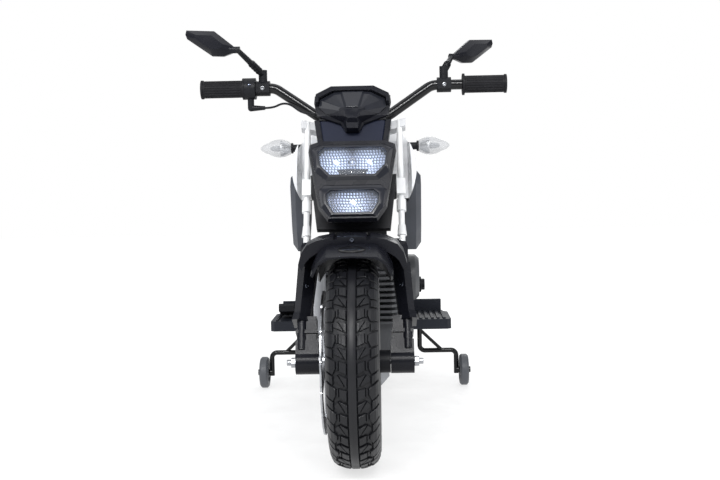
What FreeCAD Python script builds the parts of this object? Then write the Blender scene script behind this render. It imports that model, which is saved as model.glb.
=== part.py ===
import FreeCAD, Part
import math
import os

V = FreeCAD.Vector

# Stance and wheels, in millimetres and degrees
WHEELBASE = 730.0
TYRE_OD = 350.0
FRONT_TYRE_WIDTH = 84.0
REAR_TYRE_WIDTH = 100.0
RIM_OD = 236.0
RIM_DEPTH = 13.0
RIM_EDGE = 9.0
HUB_R = 19.0
SPOKES = 5
SPOKE_WIDTH = 24.0
SPOKE_THICKNESS = 26.0
AXLE_R = 5.0
NUT_R = 9.0
NUT_THICKNESS = 8.0
TREAD_PITCHES = 26
TREAD_DEPTH = 3.4
TREAD_GROOVE = 4.0
TREAD_SLANT = 15.0
CENTRE_RIB = 13.0
CROWN_DROP = 3.0
SHOULDER_DROP = 11.0
CROWN_SHARE = 0.55
SHOULDER_SHARE = 0.86
BEAD_INSET = 14.0
DISC_R = 120.0
DISC_BAND = 28.0
DISC_THICKNESS = 3.0
DISC_HOLES = 16
DISC_SPACER = 8.0
DISC_ARM = 14.0
DISC_HOLE_R = 4.0
DISC_NOTCH_R = 8.0

# Clearances
RUN_CLEARANCE = 0.06
FIT_CLEARANCE = 0.05
SEAT_GAP = 0.2

# Steering and front fork
RAKE = 24.0
FORK_OFFSET = 30.0
FORK_HALF_TRACK = 84.0
FORK_TUBE_R = 5.5
FORK_COLLAR_R = 8.5
FORK_TRAVEL = 10.0
FORK_FOOT_INNER = 60.0
FORK_FOOT_OUTER = 99.0
FORK_FOOT_R = 20.0
FORK_LEG_TOP = 210.0
FORK_SHOULDER = 168.0
FORK_SHROUD_BOTTOM = 72.0
SHROUD_DEPTH = 50.0
SHROUD_TOP_INNER = 62.0
SHROUD_LOW_INNER = 76.0
SHROUD_TOP_OUTER = 93.0
SHROUD_LOW_OUTER = 102.0
SHROUD_STEP = 3.0
FORK_TUBE_BOTTOM = 106.0
STEM_R = 12.0
HEAD_TUBE_R = 18.0
HEAD_TUBE_BOTTOM = 333.0
HEAD_TUBE_TOP = 433.0
LOWER_YOKE_THICKNESS = 30.0
UPPER_YOKE_THICKNESS = 16.0
YOKE_GAP = 2.0
APRON_TAPER = 12.0
STEER_CLEAR_R = 105.0
STEER_CLEAR_BACK = 35.0

# Front fender
FENDER_R = 206.0
FENDER_WALL = 3.0
FENDER_HALF_WIDTH = 66.0
FENDER_FRONT_ANGLE = 27.0
FENDER_REAR_ANGLE = 42.0
BRIDGE_RISE = 11.0
BRIDGE_FRONT_ANGLE = 13.0
BRIDGE_REAR_ANGLE = 37.0
BRIDGE_HALF_WIDTH = 89.0
FENDER_GROOVE_X = 27.0
FENDER_GROOVE_WIDTH = 6.0

# Headlight, cowl and dash
LAMP_HEIGHT = 329.0
LAMP_FRONT = 115.0
LAMP_BACK = 58.0
LAMP_POCKET = 30.0
LAMP_DEPTH = 107.0
LAMP_CLEARANCE = 5.0
BEZEL_PROUD = 4.0
BEZEL_DEPTH = 16.0
LENS_THICKNESS = 6.0
NECK_FRONT = 72.0
NECK_BACK = 50.0
COWL_NOSE = 100.0
DASH_HALF_WIDTH = 60.0
DASH_BACK = 30.0
DASH_ABOVE_LAMP = 103.0
DASH_HEIGHT = 58.0
COWL_ABOVE_LAMP = 102.0
VISOR_DEPTH = 20.0
NECK_RECESS = 4.0

# Handlebar and controls
BAR_R = 9.5
BAR_FORWARD = 12.0
BAR_ABOVE_YOKE = 18.0
BAR_STRAIGHT = 62.0
BAR_RISE = 58.0
BAR_PULLBACK = 15.0
BAR_OUTER_RUN = 139.0
BAR_BEND_R = 30.0
BAR_HALF_WIDTH = 285.0
GRIP_LENGTH = 82.0
GRIP_R = 16.0
GRIP_RIBS = 20
GRIP_CAP = 2.0
HOUSING_LENGTH = 20.0
HOUSING_R = 20.0
MIRROR_INSET = 116.0
NOZZLE_LENGTH = 26.7
CLAMP_LENGTH = 26.0
CLAMP_R = 14.0
CABLE_R = 2.0

# Mirrors
MIRROR_POST_R = 8.0
MIRROR_PIN_R = 4.0
MIRROR_ARM_REACH = 87.0
MIRROR_ARM_RISE = 36.0
MIRROR_EYE_R = 6.0
MIRROR_EYE_LENGTH = 9.0
MIRROR_TILT_PIN_R = 3.0
MIRROR_DEPTH = 20.0
RIGHT_SWIVEL = 66.0
LEFT_SWIVEL = -76.0
RIGHT_PAN = 0.0
LEFT_PAN = 25.0

# Frame, tank, seat and tail
SPINE_HALF_WIDTH = 18.0
SPINE_BELOW_HEAD = 10.0
UPRIGHT_DEPTH = 26.0
TANK_WALL = 3.5
TANK_HALF_WIDTH = 112.0
SEAT_HALF_WIDTH = 82.0
SEAT_THICKNESS = 48.0
SEAT_BASE_HEIGHT = 30.0
SEAT_SKIRT_DROP = 100.0
SEAT_SKIRT_LENGTH = 205.0
SEAT_WALL = 4.0
TAIL_LENS_BEVEL = 3.0
FENDER_STRUT_HALF = 20.0
TAIL_LENGTH = 108.0

# Engine casing and drive
ENGINE_TYRE_CLEARANCE = 40.0
REAR_TYRE_GAP = 64.0
ENGINE_HALF_WIDTH = 72.0
ENGINE_WALL = 6.0
ENGINE_BOTTOM = 128.0
ENGINE_TOP = 372.0
CYLINDER_HALF_WIDTH = 55.0
FIN_COUNT = 13
FIN_PITCH = 11.0
FIN_THICKNESS = 5.0
FIN_REACH = 20.0
FIN_BOTTOM = 74.0
DRUM_R = 47.0
DRUM_HALF_WIDTH = 122.0
DRUM_AHEAD = 77.5
COVER_R = 40.0
COVER_PROUD = 14.0
HEAD_FRONT = 0.04
COVER_PLACE = 0.42
EXHAUST_R = 12.0
MUFFLER_HEIGHT = 50.0
MUFFLER_HALF_WIDTH = 58.0
BATTERY_END_GAP = 49.5
BATTERY_SHIFT = 21.0
CASE_AHEAD = 15.5
BATTERY_WIDTH = 65.0
BATTERY_HEIGHT = 94.0
AIRBOX_HALF_WIDTH = 58.0
MODULE_SIZE = 55.0
MODULE_HEIGHT = 20.0
SWINGARM_INNER = 86.0
SWINGARM_THICKNESS = 18.0
GEARBOX_INNER = 60.0
MOTOR_R = 18.0
MOTOR_LENGTH = 58.0
SOCKET_R = 6.0
SOCKET_FLANGE_R = 9.0
SOCKET_BORE_R = 2.8
SOCKET_BORE_DEPTH = 10.0

# Footrests, pedal and training wheels
FOOTREST_INNER = 106.0
FOOTREST_OUTER = 190.0
FOOTREST_LENGTH = 145.0
FOOTREST_TOP = 190.0
FOOTREST_HEIGHT = 24.0
FOOTREST_RIBS = 6
HEEL_WALL = 24.0
PEDAL_INNER = 141.0
PEDAL_OUTER = 174.0
PEDAL_LENGTH = 68.0
PEDAL_PIN_R = 3.0
TRAINING_WHEEL_R = 36.0
TRAINING_WHEEL_WIDTH = 20.0
TRAINING_BOLT_R = 4.0
TRAINING_TRACK = 466.0
TRAINING_AHEAD = 65.0
BRACKET_TUBE_R = 5.5
BRACKET_POST_X = 131.0
BRACKET_LEVEL = 82.0
BRACKET_PLATE = 4.0
SIGNAL_STEM_R = 7.0
SIGNAL_LENS_R = 17.0
SIGNAL_LENS_LENGTH = 58.0

# Anchor points worked out from the driving dimensions
AXLE_Z = TYRE_OD / 2
FRONT_Y = -WHEELBASE / 2
REAR_Y = WHEELBASE / 2
SIN_RAKE = math.sin(math.radians(RAKE))
COS_RAKE = math.cos(math.radians(RAKE))
STEER_BASE = V(0, FRONT_Y + FORK_OFFSET * COS_RAKE, AXLE_Z - FORK_OFFSET * SIN_RAKE)
LOWER_YOKE_TOP = HEAD_TUBE_BOTTOM - YOKE_GAP
LOWER_YOKE_BOTTOM = LOWER_YOKE_TOP - LOWER_YOKE_THICKNESS
UPPER_YOKE_BOTTOM = HEAD_TUBE_TOP + YOKE_GAP
UPPER_YOKE_TOP = UPPER_YOKE_BOTTOM + UPPER_YOKE_THICKNESS
BAR_T = UPPER_YOKE_TOP + BAR_ABOVE_YOKE
ENGINE_FRONT = FRONT_Y + AXLE_Z + ENGINE_TYRE_CLEARANCE
UPRIGHT_REAR = REAR_Y - AXLE_Z - REAR_TYRE_GAP
ENGINE_REAR = UPRIGHT_REAR - UPRIGHT_DEPTH
ENGINE_LENGTH = ENGINE_REAR - ENGINE_FRONT
BATTERY_FRONT = ENGINE_FRONT + BATTERY_END_GAP + BATTERY_SHIFT
BATTERY_REAR = ENGINE_REAR - BATTERY_END_GAP + BATTERY_SHIFT
CASE_NOSE = BATTERY_FRONT - CASE_AHEAD
TRAINING_Y = REAR_Y - TRAINING_AHEAD
DASH_BOTTOM = LAMP_HEIGHT + DASH_ABOVE_LAMP
DASH_TOP = DASH_BOTTOM + DASH_HEIGHT
COWL_CENTRE = LAMP_HEIGHT + COWL_ABOVE_LAMP
BAR_BEND_X = BAR_HALF_WIDTH - BAR_OUTER_RUN
MIRROR_X = BAR_HALF_WIDTH - MIRROR_INSET
RIM_R = RIM_OD / 2
BRIDGE_TOP = FENDER_R + BRIDGE_RISE


def steer_point(x, forward, t):
    """Frame position of a point given along the steering axis."""
    y = STEER_BASE.y - forward * COS_RAKE + t * SIN_RAKE
    z = STEER_BASE.z + forward * SIN_RAKE + t * COS_RAKE
    return V(x, y, z)


def steer(shape):
    """Tilt a shape modelled about an upright steering axis into place."""
    placed = shape.copy()
    placed.rotate(V(0, 0, 0), V(1, 0, 0), -RAKE)
    placed.translate(STEER_BASE)
    return placed


HEAD = steer_point(0, 0, (HEAD_TUBE_BOTTOM + HEAD_TUBE_TOP) / 2)
SPINE_TOP = HEAD.z - SPINE_BELOW_HEAD
BAR_CENTRE = steer_point(0, BAR_FORWARD, BAR_T)
GRIP_Y = BAR_CENTRE.y + BAR_PULLBACK
GRIP_Z = BAR_CENTRE.z + BAR_RISE
SEAT_FRONT = ENGINE_REAR + 12.0
SPINE_END = REAR_Y + 31.0
SEAT_LEVEL = SPINE_TOP - 36.0


def box(x0, x1, y0, y1, z0, z1):
    return Part.makeBox(x1 - x0, y1 - y0, z1 - z0, V(x0, y0, z0))


def rod(start, end, radius):
    return Part.makeCylinder(radius, (end - start).Length, start, end - start)


def rod_x(x0, x1, y, z, radius):
    return rod(V(x0, y, z), V(x1, y, z), radius)


def sleeve_x(x0, x1, y, z, outer, inner):
    return rod_x(x0, x1, y, z, outer).cut(rod_x(x0 - 1, x1 + 1, y, z, inner))


def face_of(points):
    return Part.Face(Part.makePolygon(points + [points[0]]))


def prism_x(outline, x0, x1):
    return face_of([V(x0, y, z) for y, z in outline]).extrude(V(x1 - x0, 0, 0))


def prism_y(outline, y0, y1):
    return face_of([V(x, y0, z) for x, z in outline]).extrude(V(0, y1 - y0, 0))


def prism_z(outline, z0, z1):
    return face_of([V(x, y, z0) for x, y in outline]).extrude(V(0, 0, z1 - z0))


def loft(sections, ruled=True):
    wires = [Part.makePolygon(points + [points[0]]) for points in sections]
    return Part.makeLoft(wires, True, ruled)


def fuse(first, *others):
    return first.multiFuse(list(others)).removeSplitter()


def cut_all(shape, tools):
    return shape.cut(Part.makeCompound(tools))


def mirror_x(shape):
    return shape.mirror(V(0, 0, 0), V(1, 0, 0))


def symmetric(half_outline):
    """Close an outline from its right half, listed from top to bottom."""
    return half_outline + [(-x, z) for x, z in reversed(half_outline)]


def grown(outline, amount):
    """Move each side of a symmetric convex outline outwards by about an amount."""
    heights = [z for x, z in outline]
    middle = (min(heights) + max(heights)) / 2
    half = (max(heights) - min(heights)) / 2
    width = max(x for x, z in outline)
    sx = (width + amount) / width
    sz = (half + amount) / half
    return [(x * sx, middle + (z - middle) * sz) for x, z in outline]


def ring_x(outline, y, z, start, sweep):
    """Turn an outline of (x, radius) about an axis along X, from an angle behind the top."""
    face = face_of([V(x, y, z + r) for x, r in outline])
    face.rotate(V(0, y, z), V(1, 0, 0), -start)
    return face.revolve(V(0, y, z), V(-1, 0, 0), sweep)


def bent_path(points, radius):
    """Straight runs joined by tangent arcs; a list gives each corner its own radius."""
    radii = radius if isinstance(radius, list) else [radius] * (len(points) - 2)
    edges = []
    start = points[0]
    for index in range(1, len(points) - 1):
        corner = points[index]
        back = (points[index - 1] - corner).normalize()
        ahead = (points[index + 1] - corner).normalize()
        half_angle = math.acos(max(-1.0, min(1.0, back.dot(ahead)))) / 2
        trim = radii[index - 1] / math.tan(half_angle)
        first = corner + back * trim
        last = corner + ahead * trim
        inward = (back + ahead).normalize()
        reach = radii[index - 1] / math.sin(half_angle) - radii[index - 1]
        edges.append(Part.LineSegment(start, first).toShape())
        edges.append(Part.Arc(first, corner + inward * reach, last).toShape())
        start = last
    edges.append(Part.LineSegment(start, points[-1]).toShape())
    return Part.Wire(edges)


def bent_tube(points, bend, radius):
    path = bent_path(points, bend)
    circle = Part.Wire(Part.Circle(points[0], points[1] - points[0], radius).toShape())
    return path.makePipeShell([circle], True, False)


# Wheels

def tyre_outline(width):
    """Half outline of a tyre as (x, radius), from crown to bead, with a groove beside the centre rib."""
    half = width / 2
    rib = CENTRE_RIB / 2
    shoulder = AXLE_Z - SHOULDER_DROP
    bead = RIM_R + FIT_CLEARANCE
    waist = (shoulder + bead) / 2
    return [(rib, AXLE_Z), (rib, AXLE_Z - TREAD_DEPTH), (rib + TREAD_GROOVE, AXLE_Z - TREAD_DEPTH),
            (rib + TREAD_GROOVE, AXLE_Z), (half * CROWN_SHARE, AXLE_Z - CROWN_DROP),
            (half * SHOULDER_SHARE, shoulder), (half, waist + BEAD_INSET / 2), (half, waist - BEAD_INSET / 2),
            (half - BEAD_INSET, bead)]


def tyre(y, width):
    """Block tyre: a revolved outline with slanted grooves that mirror each other beside the centre rib."""
    body = ring_x(symmetric(tyre_outline(width)), y, AXLE_Z, 0, 360)
    tools = []
    for index in range(TREAD_PITCHES):
        for side in (1, -1):
            tool = tread_groove(y, width, side)
            tool.rotate(V(0, y, AXLE_Z), V(1, 0, 0), 360.0 * index / TREAD_PITCHES)
            tools.append(tool)
    return cut_all(body, tools)


def tread_groove(y, width, side):
    """Groove tool at the top of the tyre, from the rib to the shoulder, slanting back as it goes out."""
    near = CENTRE_RIB / 2 + TREAD_GROOVE / 2
    far = width / 2
    half = TREAD_GROOVE / 2
    plan = [(near, -half), (far, TREAD_SLANT - half), (far, TREAD_SLANT + half), (near, half)]
    low = AXLE_Z - TREAD_DEPTH
    fall = (SHOULDER_DROP + TREAD_DEPTH) / (far - near)
    points = [V(side * x, y + dy, AXLE_Z + low - fall * (x - near)) for x, dy in plan]
    return face_of(points).extrude(V(0, 0, SHOULDER_DROP + 3 * TREAD_DEPTH))


def rim(y, width, hub_left, hub_right):
    half = width / 2 - BEAD_INSET
    seat = RIM_R
    outline = [(-half, seat), (-half, seat - RIM_EDGE), (-half * 0.7, seat - RIM_DEPTH),
               (half * 0.7, seat - RIM_DEPTH), (half, seat - RIM_EDGE), (half, seat)]
    ring = ring_x(outline, y, AXLE_Z, 0, 360)
    hub = rod_x(hub_left, hub_right, y, AXLE_Z, HUB_R)
    spokes = []
    outer = seat - RIM_DEPTH + 2
    for index in range(SPOKES):
        spoke = prism_x([(y - SPOKE_WIDTH * 0.7, AXLE_Z), (y + SPOKE_WIDTH * 0.7, AXLE_Z),
                         (y + SPOKE_WIDTH / 2, AXLE_Z + outer), (y - SPOKE_WIDTH / 2, AXLE_Z + outer)],
                        -SPOKE_THICKNESS / 2, SPOKE_THICKNESS / 2)
        slot_half = SPOKE_WIDTH * 0.2
        slot = box(-SPOKE_THICKNESS, SPOKE_THICKNESS, y - slot_half, y + slot_half, AXLE_Z + HUB_R * 1.7,
                   AXLE_Z + outer * 0.85)
        spoke = spoke.cut(slot)
        spoke.rotate(V(0, y, AXLE_Z), V(1, 0, 0), 360.0 * index / SPOKES)
        spokes.append(spoke)
    wheel = fuse(ring, hub, *spokes)
    return wheel.cut(rod_x(hub_left - 1, hub_right + 1, y, AXLE_Z, AXLE_R + RUN_CLEARANCE))


def axle_with_nuts(y, seat):
    """Axle rod and a hexagon nut against the outer face on each side."""
    reach = seat + NUT_THICKNESS
    shaft = rod_x(-reach - NUT_R * 0.8, reach + NUT_R * 0.8, y, AXLE_Z, AXLE_R)
    pieces = [shaft]
    for side in (1, -1):
        angles = [math.radians(60 * k) for k in range(6)]
        corners = [(y + NUT_R * math.cos(a), AXLE_Z + NUT_R * math.sin(a)) for a in angles]
        nut = prism_x(corners, side * seat, side * reach)
        pieces.append(nut.cut(rod_x(-reach * 2, reach * 2, y, AXLE_Z, AXLE_R + FIT_CLEARANCE)))
    return Part.makeCompound(pieces)


FRONT_HUB_END = FORK_FOOT_INNER - 0.5
DISC_OUTER_X = FORK_FOOT_INNER - DISC_SPACER
DISC_INNER_X = DISC_OUTER_X - DISC_THICKNESS


def brake_disc():
    band = sleeve_x(-DISC_OUTER_X, -DISC_INNER_X, FRONT_Y, AXLE_Z, DISC_R, DISC_R - DISC_BAND)
    centre = rod_x(-FRONT_HUB_END, -DISC_INNER_X, FRONT_Y, AXLE_Z, HUB_R)
    arms = []
    for index in range(SPOKES):
        arm = box(-DISC_OUTER_X, -DISC_INNER_X, FRONT_Y - DISC_ARM / 2, FRONT_Y + DISC_ARM / 2,
                  AXLE_Z, AXLE_Z + DISC_R - DISC_BAND / 2)
        arm.rotate(V(0, FRONT_Y, AXLE_Z), V(1, 0, 0), 360.0 * (index + 0.5) / SPOKES)
        arms.append(arm)
    disc = fuse(band, centre, *arms)
    holes = [rod_x(-FRONT_HUB_END, 0, FRONT_Y, AXLE_Z, AXLE_R + RUN_CLEARANCE)]
    for index in range(DISC_HOLES):
        angle = 2 * math.pi * index / DISC_HOLES
        depth = DISC_R - DISC_BAND * (0.3 if index % 2 else 0.65)
        hole_y = FRONT_Y + depth * math.cos(angle)
        hole_z = AXLE_Z + depth * math.sin(angle)
        holes.append(rod_x(-DISC_OUTER_X - 1, -DISC_INNER_X + 1, hole_y, hole_z, DISC_HOLE_R))
        notch_y = FRONT_Y + (DISC_R + 5) * math.cos(angle + math.pi / DISC_HOLES)
        notch_z = AXLE_Z + (DISC_R + 5) * math.sin(angle + math.pi / DISC_HOLES)
        holes.append(rod_x(-DISC_OUTER_X - 1, -DISC_INNER_X + 1, notch_y, notch_z, DISC_NOTCH_R))
    return cut_all(disc, holes)


# Front fork, modelled about an upright steering axis

def shroud_section(inner, outer, t, proud):
    """Five-sided outline across the left leg's shroud, with a ridge along its front."""
    middle = -FORK_OFFSET
    front = middle - SHROUD_DEPTH / 2 - proud
    back = middle + SHROUD_DEPTH / 2 + proud
    ridge = inner + (outer - inner) * 0.6
    return [V(outer, front + 4, t), V(ridge, front, t), V(inner, front + 16, t), V(inner, back, t),
            V(outer, back, t)]


def fork_leg():
    """Left leg: axle foot, ribbed lower leg and the faceted shroud above it."""
    inner = FORK_FOOT_INNER
    outer = FORK_FOOT_OUTER
    middle = -FORK_OFFSET
    foot = rod_x(inner, outer, middle, 0, FORK_FOOT_R)
    shin = box(inner, outer, middle - 17, middle + 17, 0, 34)
    lower = box(inner + 4, outer - 2, middle - 15, middle + 15, 30, FORK_SHROUD_BOTTOM + 4)
    tube_x = FORK_HALF_TRACK + 5
    tube = rod(V(tube_x, middle - 12, 18), V(tube_x, middle - 12, FORK_SHROUD_BOTTOM + 4), 8)
    cuff = box(inner + 2, outer, middle - 18, middle + 18, 46, 52)
    shoulder_outer = SHROUD_TOP_OUTER + SHROUD_STEP
    low = shroud_section(SHROUD_LOW_INNER, SHROUD_LOW_OUTER, FORK_SHROUD_BOTTOM, 0)
    high = shroud_section(SHROUD_TOP_INNER + SHROUD_STEP, shoulder_outer, FORK_SHOULDER, 0)
    lip = shroud_section(SHROUD_LOW_INNER - 1, SHROUD_LOW_OUTER + 3, FORK_SHROUD_BOTTOM - 4, SHROUD_STEP)
    flare = shroud_section(SHROUD_LOW_INNER, SHROUD_LOW_OUTER, FORK_SHROUD_BOTTOM + 10, 0)
    bevel = FORK_LEG_TOP - 4 * SHROUD_STEP
    cap = [shroud_section(SHROUD_TOP_INNER, SHROUD_TOP_OUTER, FORK_SHOULDER - 1, -SHROUD_STEP),
           shroud_section(SHROUD_TOP_INNER, SHROUD_TOP_OUTER, bevel, -SHROUD_STEP),
           shroud_section(SHROUD_TOP_INNER, SHROUD_TOP_OUTER - SHROUD_STEP, FORK_LEG_TOP, -3 * SHROUD_STEP)]
    shroud = fuse(loft([low, high]), loft([lip, flare]), loft(cap))
    leg = fuse(foot, shin, lower, tube, cuff, shroud)
    bore = rod(V(FORK_HALF_TRACK, middle, FORK_TUBE_BOTTOM - FORK_TRAVEL - 3),
               V(FORK_HALF_TRACK, middle, FORK_LEG_TOP + 1), FORK_TUBE_R + RUN_CLEARANCE)
    axle = rod_x(inner - 1, outer + 20, middle, 0, AXLE_R + FIT_CLEARANCE)
    return leg.cut(bore).cut(axle)


def fork_tube(side):
    """White fork tube with its foot flare, collar and yoke block."""
    x = side * FORK_HALF_TRACK
    y = -FORK_OFFSET
    flare = FORK_LEG_TOP + FORK_TRAVEL + 5
    tube = rod(V(x, y, FORK_TUBE_BOTTOM), V(x, y, UPPER_YOKE_TOP), FORK_TUBE_R)
    foot = Part.makeCone(FORK_COLLAR_R, FORK_TUBE_R + 1, 20, V(x, y, flare), V(0, 0, 1))
    collar = rod(V(x, y, LOWER_YOKE_BOTTOM - 30), V(x, y, LOWER_YOKE_BOTTOM - 8), FORK_COLLAR_R)
    block = box(x - 8, x + 8, y - 12, y + 12, LOWER_YOKE_BOTTOM, LOWER_YOKE_TOP)
    return fuse(tube, foot, collar, block)


def lower_yoke():
    """Lower yoke plate with its front apron and the steering stem."""
    side = FORK_HALF_TRACK - 8
    plan = [(-side, -45), (side, -45), (side, -16), (36, 15), (-36, 15), (-side, -16)]
    plate = prism_z(plan, LOWER_YOKE_BOTTOM, LOWER_YOKE_TOP)
    apron_low = BRIDGE_TOP + FORK_TRAVEL + 1
    foot = side - APRON_TAPER
    apron = prism_y([(-foot, apron_low), (foot, apron_low), (side, LOWER_YOKE_TOP), (-side, LOWER_YOKE_TOP)],
                    -LAMP_BACK, -44)
    stem = rod(V(0, 0, LOWER_YOKE_BOTTOM), V(0, 0, UPPER_YOKE_TOP + 4), STEM_R)
    return fuse(plate, apron, stem)


def upper_yoke():
    side = FORK_HALF_TRACK + 11
    front = -FORK_OFFSET - 11
    plan = [(-side, front), (-66, -26), (66, -26), (side, front), (side, -20), (54, 4), (22, 18), (-22, 18),
            (-54, 4), (-side, -20)]
    plate = prism_z(plan, UPPER_YOKE_BOTTOM, UPPER_YOKE_TOP)
    risers = []
    for x in (-32, 32):
        post = box(x - 10, x + 10, -BAR_FORWARD - 14, -BAR_FORWARD + 14, UPPER_YOKE_TOP - 1, BAR_T)
        cap = rod_x(x - 10, x + 10, -BAR_FORWARD, BAR_T, 14)
        risers += [post, cap]
    yoke = fuse(plate, *risers)
    tools = [rod(V(0, 0, UPPER_YOKE_BOTTOM - 1), V(0, 0, UPPER_YOKE_TOP + 9), STEM_R + FIT_CLEARANCE),
             rod_x(-60, 60, -BAR_FORWARD, BAR_T, BAR_R + FIT_CLEARANCE)]
    for x in (-FORK_HALF_TRACK, FORK_HALF_TRACK):
        tools.append(rod(V(x, -FORK_OFFSET, UPPER_YOKE_BOTTOM - 1), V(x, -FORK_OFFSET, UPPER_YOKE_TOP + 1),
                         FORK_TUBE_R + FIT_CLEARANCE))
    return cut_all(yoke, tools)


def front_fender(legs):
    """Blade round the tyre and the raised bridge between the fork legs."""
    half = FENDER_HALF_WIDTH
    outer = [(0, FENDER_R), (half * 0.6, FENDER_R - 2), (half * 0.84, FENDER_R - 13), (half, FENDER_R - 36)]
    inner = [(x - (FENDER_WALL if x else 0), r - FENDER_WALL) for x, r in outer]
    blade_outline = symmetric_ring(outer, inner)
    blade_sweep = FENDER_FRONT_ANGLE + FENDER_REAR_ANGLE
    blade = ring_x(blade_outline, FRONT_Y, AXLE_Z, -FENDER_FRONT_ANGLE, blade_sweep)
    side = BRIDGE_HALF_WIDTH
    top = BRIDGE_TOP
    shell = [(0, top), (side * 0.37, top - 1), (side * 0.63, top - 5), (side * 0.83, top - 13),
             (side * 0.94, top - 27), (side, top - 46)]
    under = [(0, FENDER_R - 2), (half * 0.55, FENDER_R - 4), (half * 0.82, FENDER_R - 13),
             (side * 0.78, top - 34), (side * 0.86, top - 42), (side - 6, top - 56)]
    sweep = BRIDGE_FRONT_ANGLE + BRIDGE_REAR_ANGLE
    bridge = ring_x(symmetric_ring(shell, under), FRONT_Y, AXLE_Z, -BRIDGE_FRONT_ANGLE, sweep)
    fender = fuse(blade, bridge)
    tools = list(legs)
    for x in (-FENDER_GROOVE_X, FENDER_GROOVE_X):
        groove = [(x - FENDER_GROOVE_WIDTH / 2, top - 5), (x + FENDER_GROOVE_WIDTH / 2, top - 5),
                  (x + FENDER_GROOVE_WIDTH / 2, top + 5), (x - FENDER_GROOVE_WIDTH / 2, top + 5)]
        tools.append(ring_x(groove, FRONT_Y, AXLE_Z, -BRIDGE_FRONT_ANGLE - 2, sweep))
    for x in (-FORK_HALF_TRACK, FORK_HALF_TRACK):
        way = rod(V(x, -FORK_OFFSET, 0), V(x, -FORK_OFFSET, FORK_LEG_TOP * 2), FORK_COLLAR_R + 1.5)
        tools.append(steer(way))
    return cut_all(fender, tools)


def symmetric_ring(outer, inner):
    """Band between two half outlines that start on the middle plane."""
    right = outer + list(reversed(inner))
    left = [(-x, r) for x, r in inner[1:]] + [(-x, r) for x, r in reversed(outer[1:])]
    return right + left


# Headlight, cowl and dash, modelled about an upright steering axis

LAMP_SCALE = (LAMP_HEIGHT - BRIDGE_TOP - LAMP_CLEARANCE) / LAMP_DEPTH


def below(depth):
    """Height of a lamp corner below the datum, drawn in to the room above the fender."""
    return -depth * LAMP_SCALE


UPPER_BEZEL = symmetric([(56, 33), (71, 25), (64, below(18)), (45, below(34))])
UPPER_LENS = symmetric([(50, 27), (59.5, 18), (56, below(6)), (38, below(25))])
LOWER_BEZEL = symmetric([(48, below(43)), (58, below(53)), (54, below(82)), (39, below(101))])
LOWER_LENS = symmetric([(36.5, below(53)), (45.5, below(61)), (43, below(78)), (32, below(95))])
UPPER_BOWL_R = 11 + 11 * LAMP_SCALE
LOWER_BOWL_R = 20 * LAMP_SCALE


def lamp_section(outline, forward):
    return [V(x, -forward, LAMP_HEIGHT + h) for x, h in outline]


def lamp_prism(outline, front, back):
    return loft([lamp_section(outline, front), lamp_section(outline, back)])


def headlight_nacelle():
    face = symmetric([(58, 43), (74, 37), (76, 23), (58.5, below(83)), (42, below(LAMP_DEPTH))])
    front = grown(face, -3)
    back = grown(face, -16)
    body = loft([lamp_section(front, LAMP_FRONT), lamp_section(face, LAMP_FRONT - 8),
                 lamp_section(back, LAMP_BACK)])
    neck_top = DASH_BOTTOM - LAMP_HEIGHT
    neck = lamp_prism(symmetric([(69, neck_top), (60, 40), (50, 20)]), NECK_FRONT, NECK_BACK)
    shell = fuse(body, neck)
    panel = lamp_prism(symmetric([(60, neck_top + 1), (52, 46)]), NECK_FRONT + 1, NECK_FRONT - NECK_RECESS)
    relief = box(-FORK_HALF_TRACK, FORK_HALF_TRACK, -LAMP_BACK, -NECK_BACK + 1, 0, LOWER_YOKE_TOP + YOKE_GAP)
    pockets = [panel, relief] + [lamp_prism(outline, LAMP_FRONT + 1, LAMP_FRONT - LAMP_POCKET)
               for outline in (UPPER_BEZEL, LOWER_BEZEL)]
    return cut_all(shell, pockets)


def headlight_bezel(outer, inner):
    fit = grown(outer, -FIT_CLEARANCE)
    edge = grown(inner, 3.5)
    root = lamp_prism(fit, LAMP_FRONT - 0.5, LAMP_FRONT - BEZEL_DEPTH)
    lip = loft([lamp_section(fit, LAMP_FRONT - 0.5), lamp_section(edge, LAMP_FRONT + BEZEL_PROUD)])
    return fuse(root, lip).cut(lamp_prism(inner, LAMP_FRONT + 20, LAMP_FRONT - 40))


def headlight_lens(outline):
    fit = grown(outline, -FIT_CLEARANCE)
    crown = grown(outline, -7)
    front = LAMP_FRONT + BEZEL_PROUD - 3
    plate = lamp_prism(fit, front - 2, front - 2 - LENS_THICKNESS)
    dome = loft([lamp_section(fit, front - 2), lamp_section(crown, front)])
    return fuse(plate, dome)


def headlight_reflector(outline, bowls):
    """Closed back plate behind the bezel with a bowl for each lamp."""
    front = LAMP_FRONT - BEZEL_DEPTH
    back = LAMP_FRONT - LAMP_POCKET
    plate = lamp_prism(grown(outline, -FIT_CLEARANCE), front, back)
    tools = []
    for x, h, radius in bowls:
        mouth = V(x, -front - 0.01, LAMP_HEIGHT + h)
        tools.append(Part.makeCone(radius, radius * 0.3, front - back - 3, mouth, V(0, 1, 0)))
    return cut_all(plate, tools)


def cowl_section(outline, forward):
    return [V(x, -forward, COWL_CENTRE + h) for x, h in outline]


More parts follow.
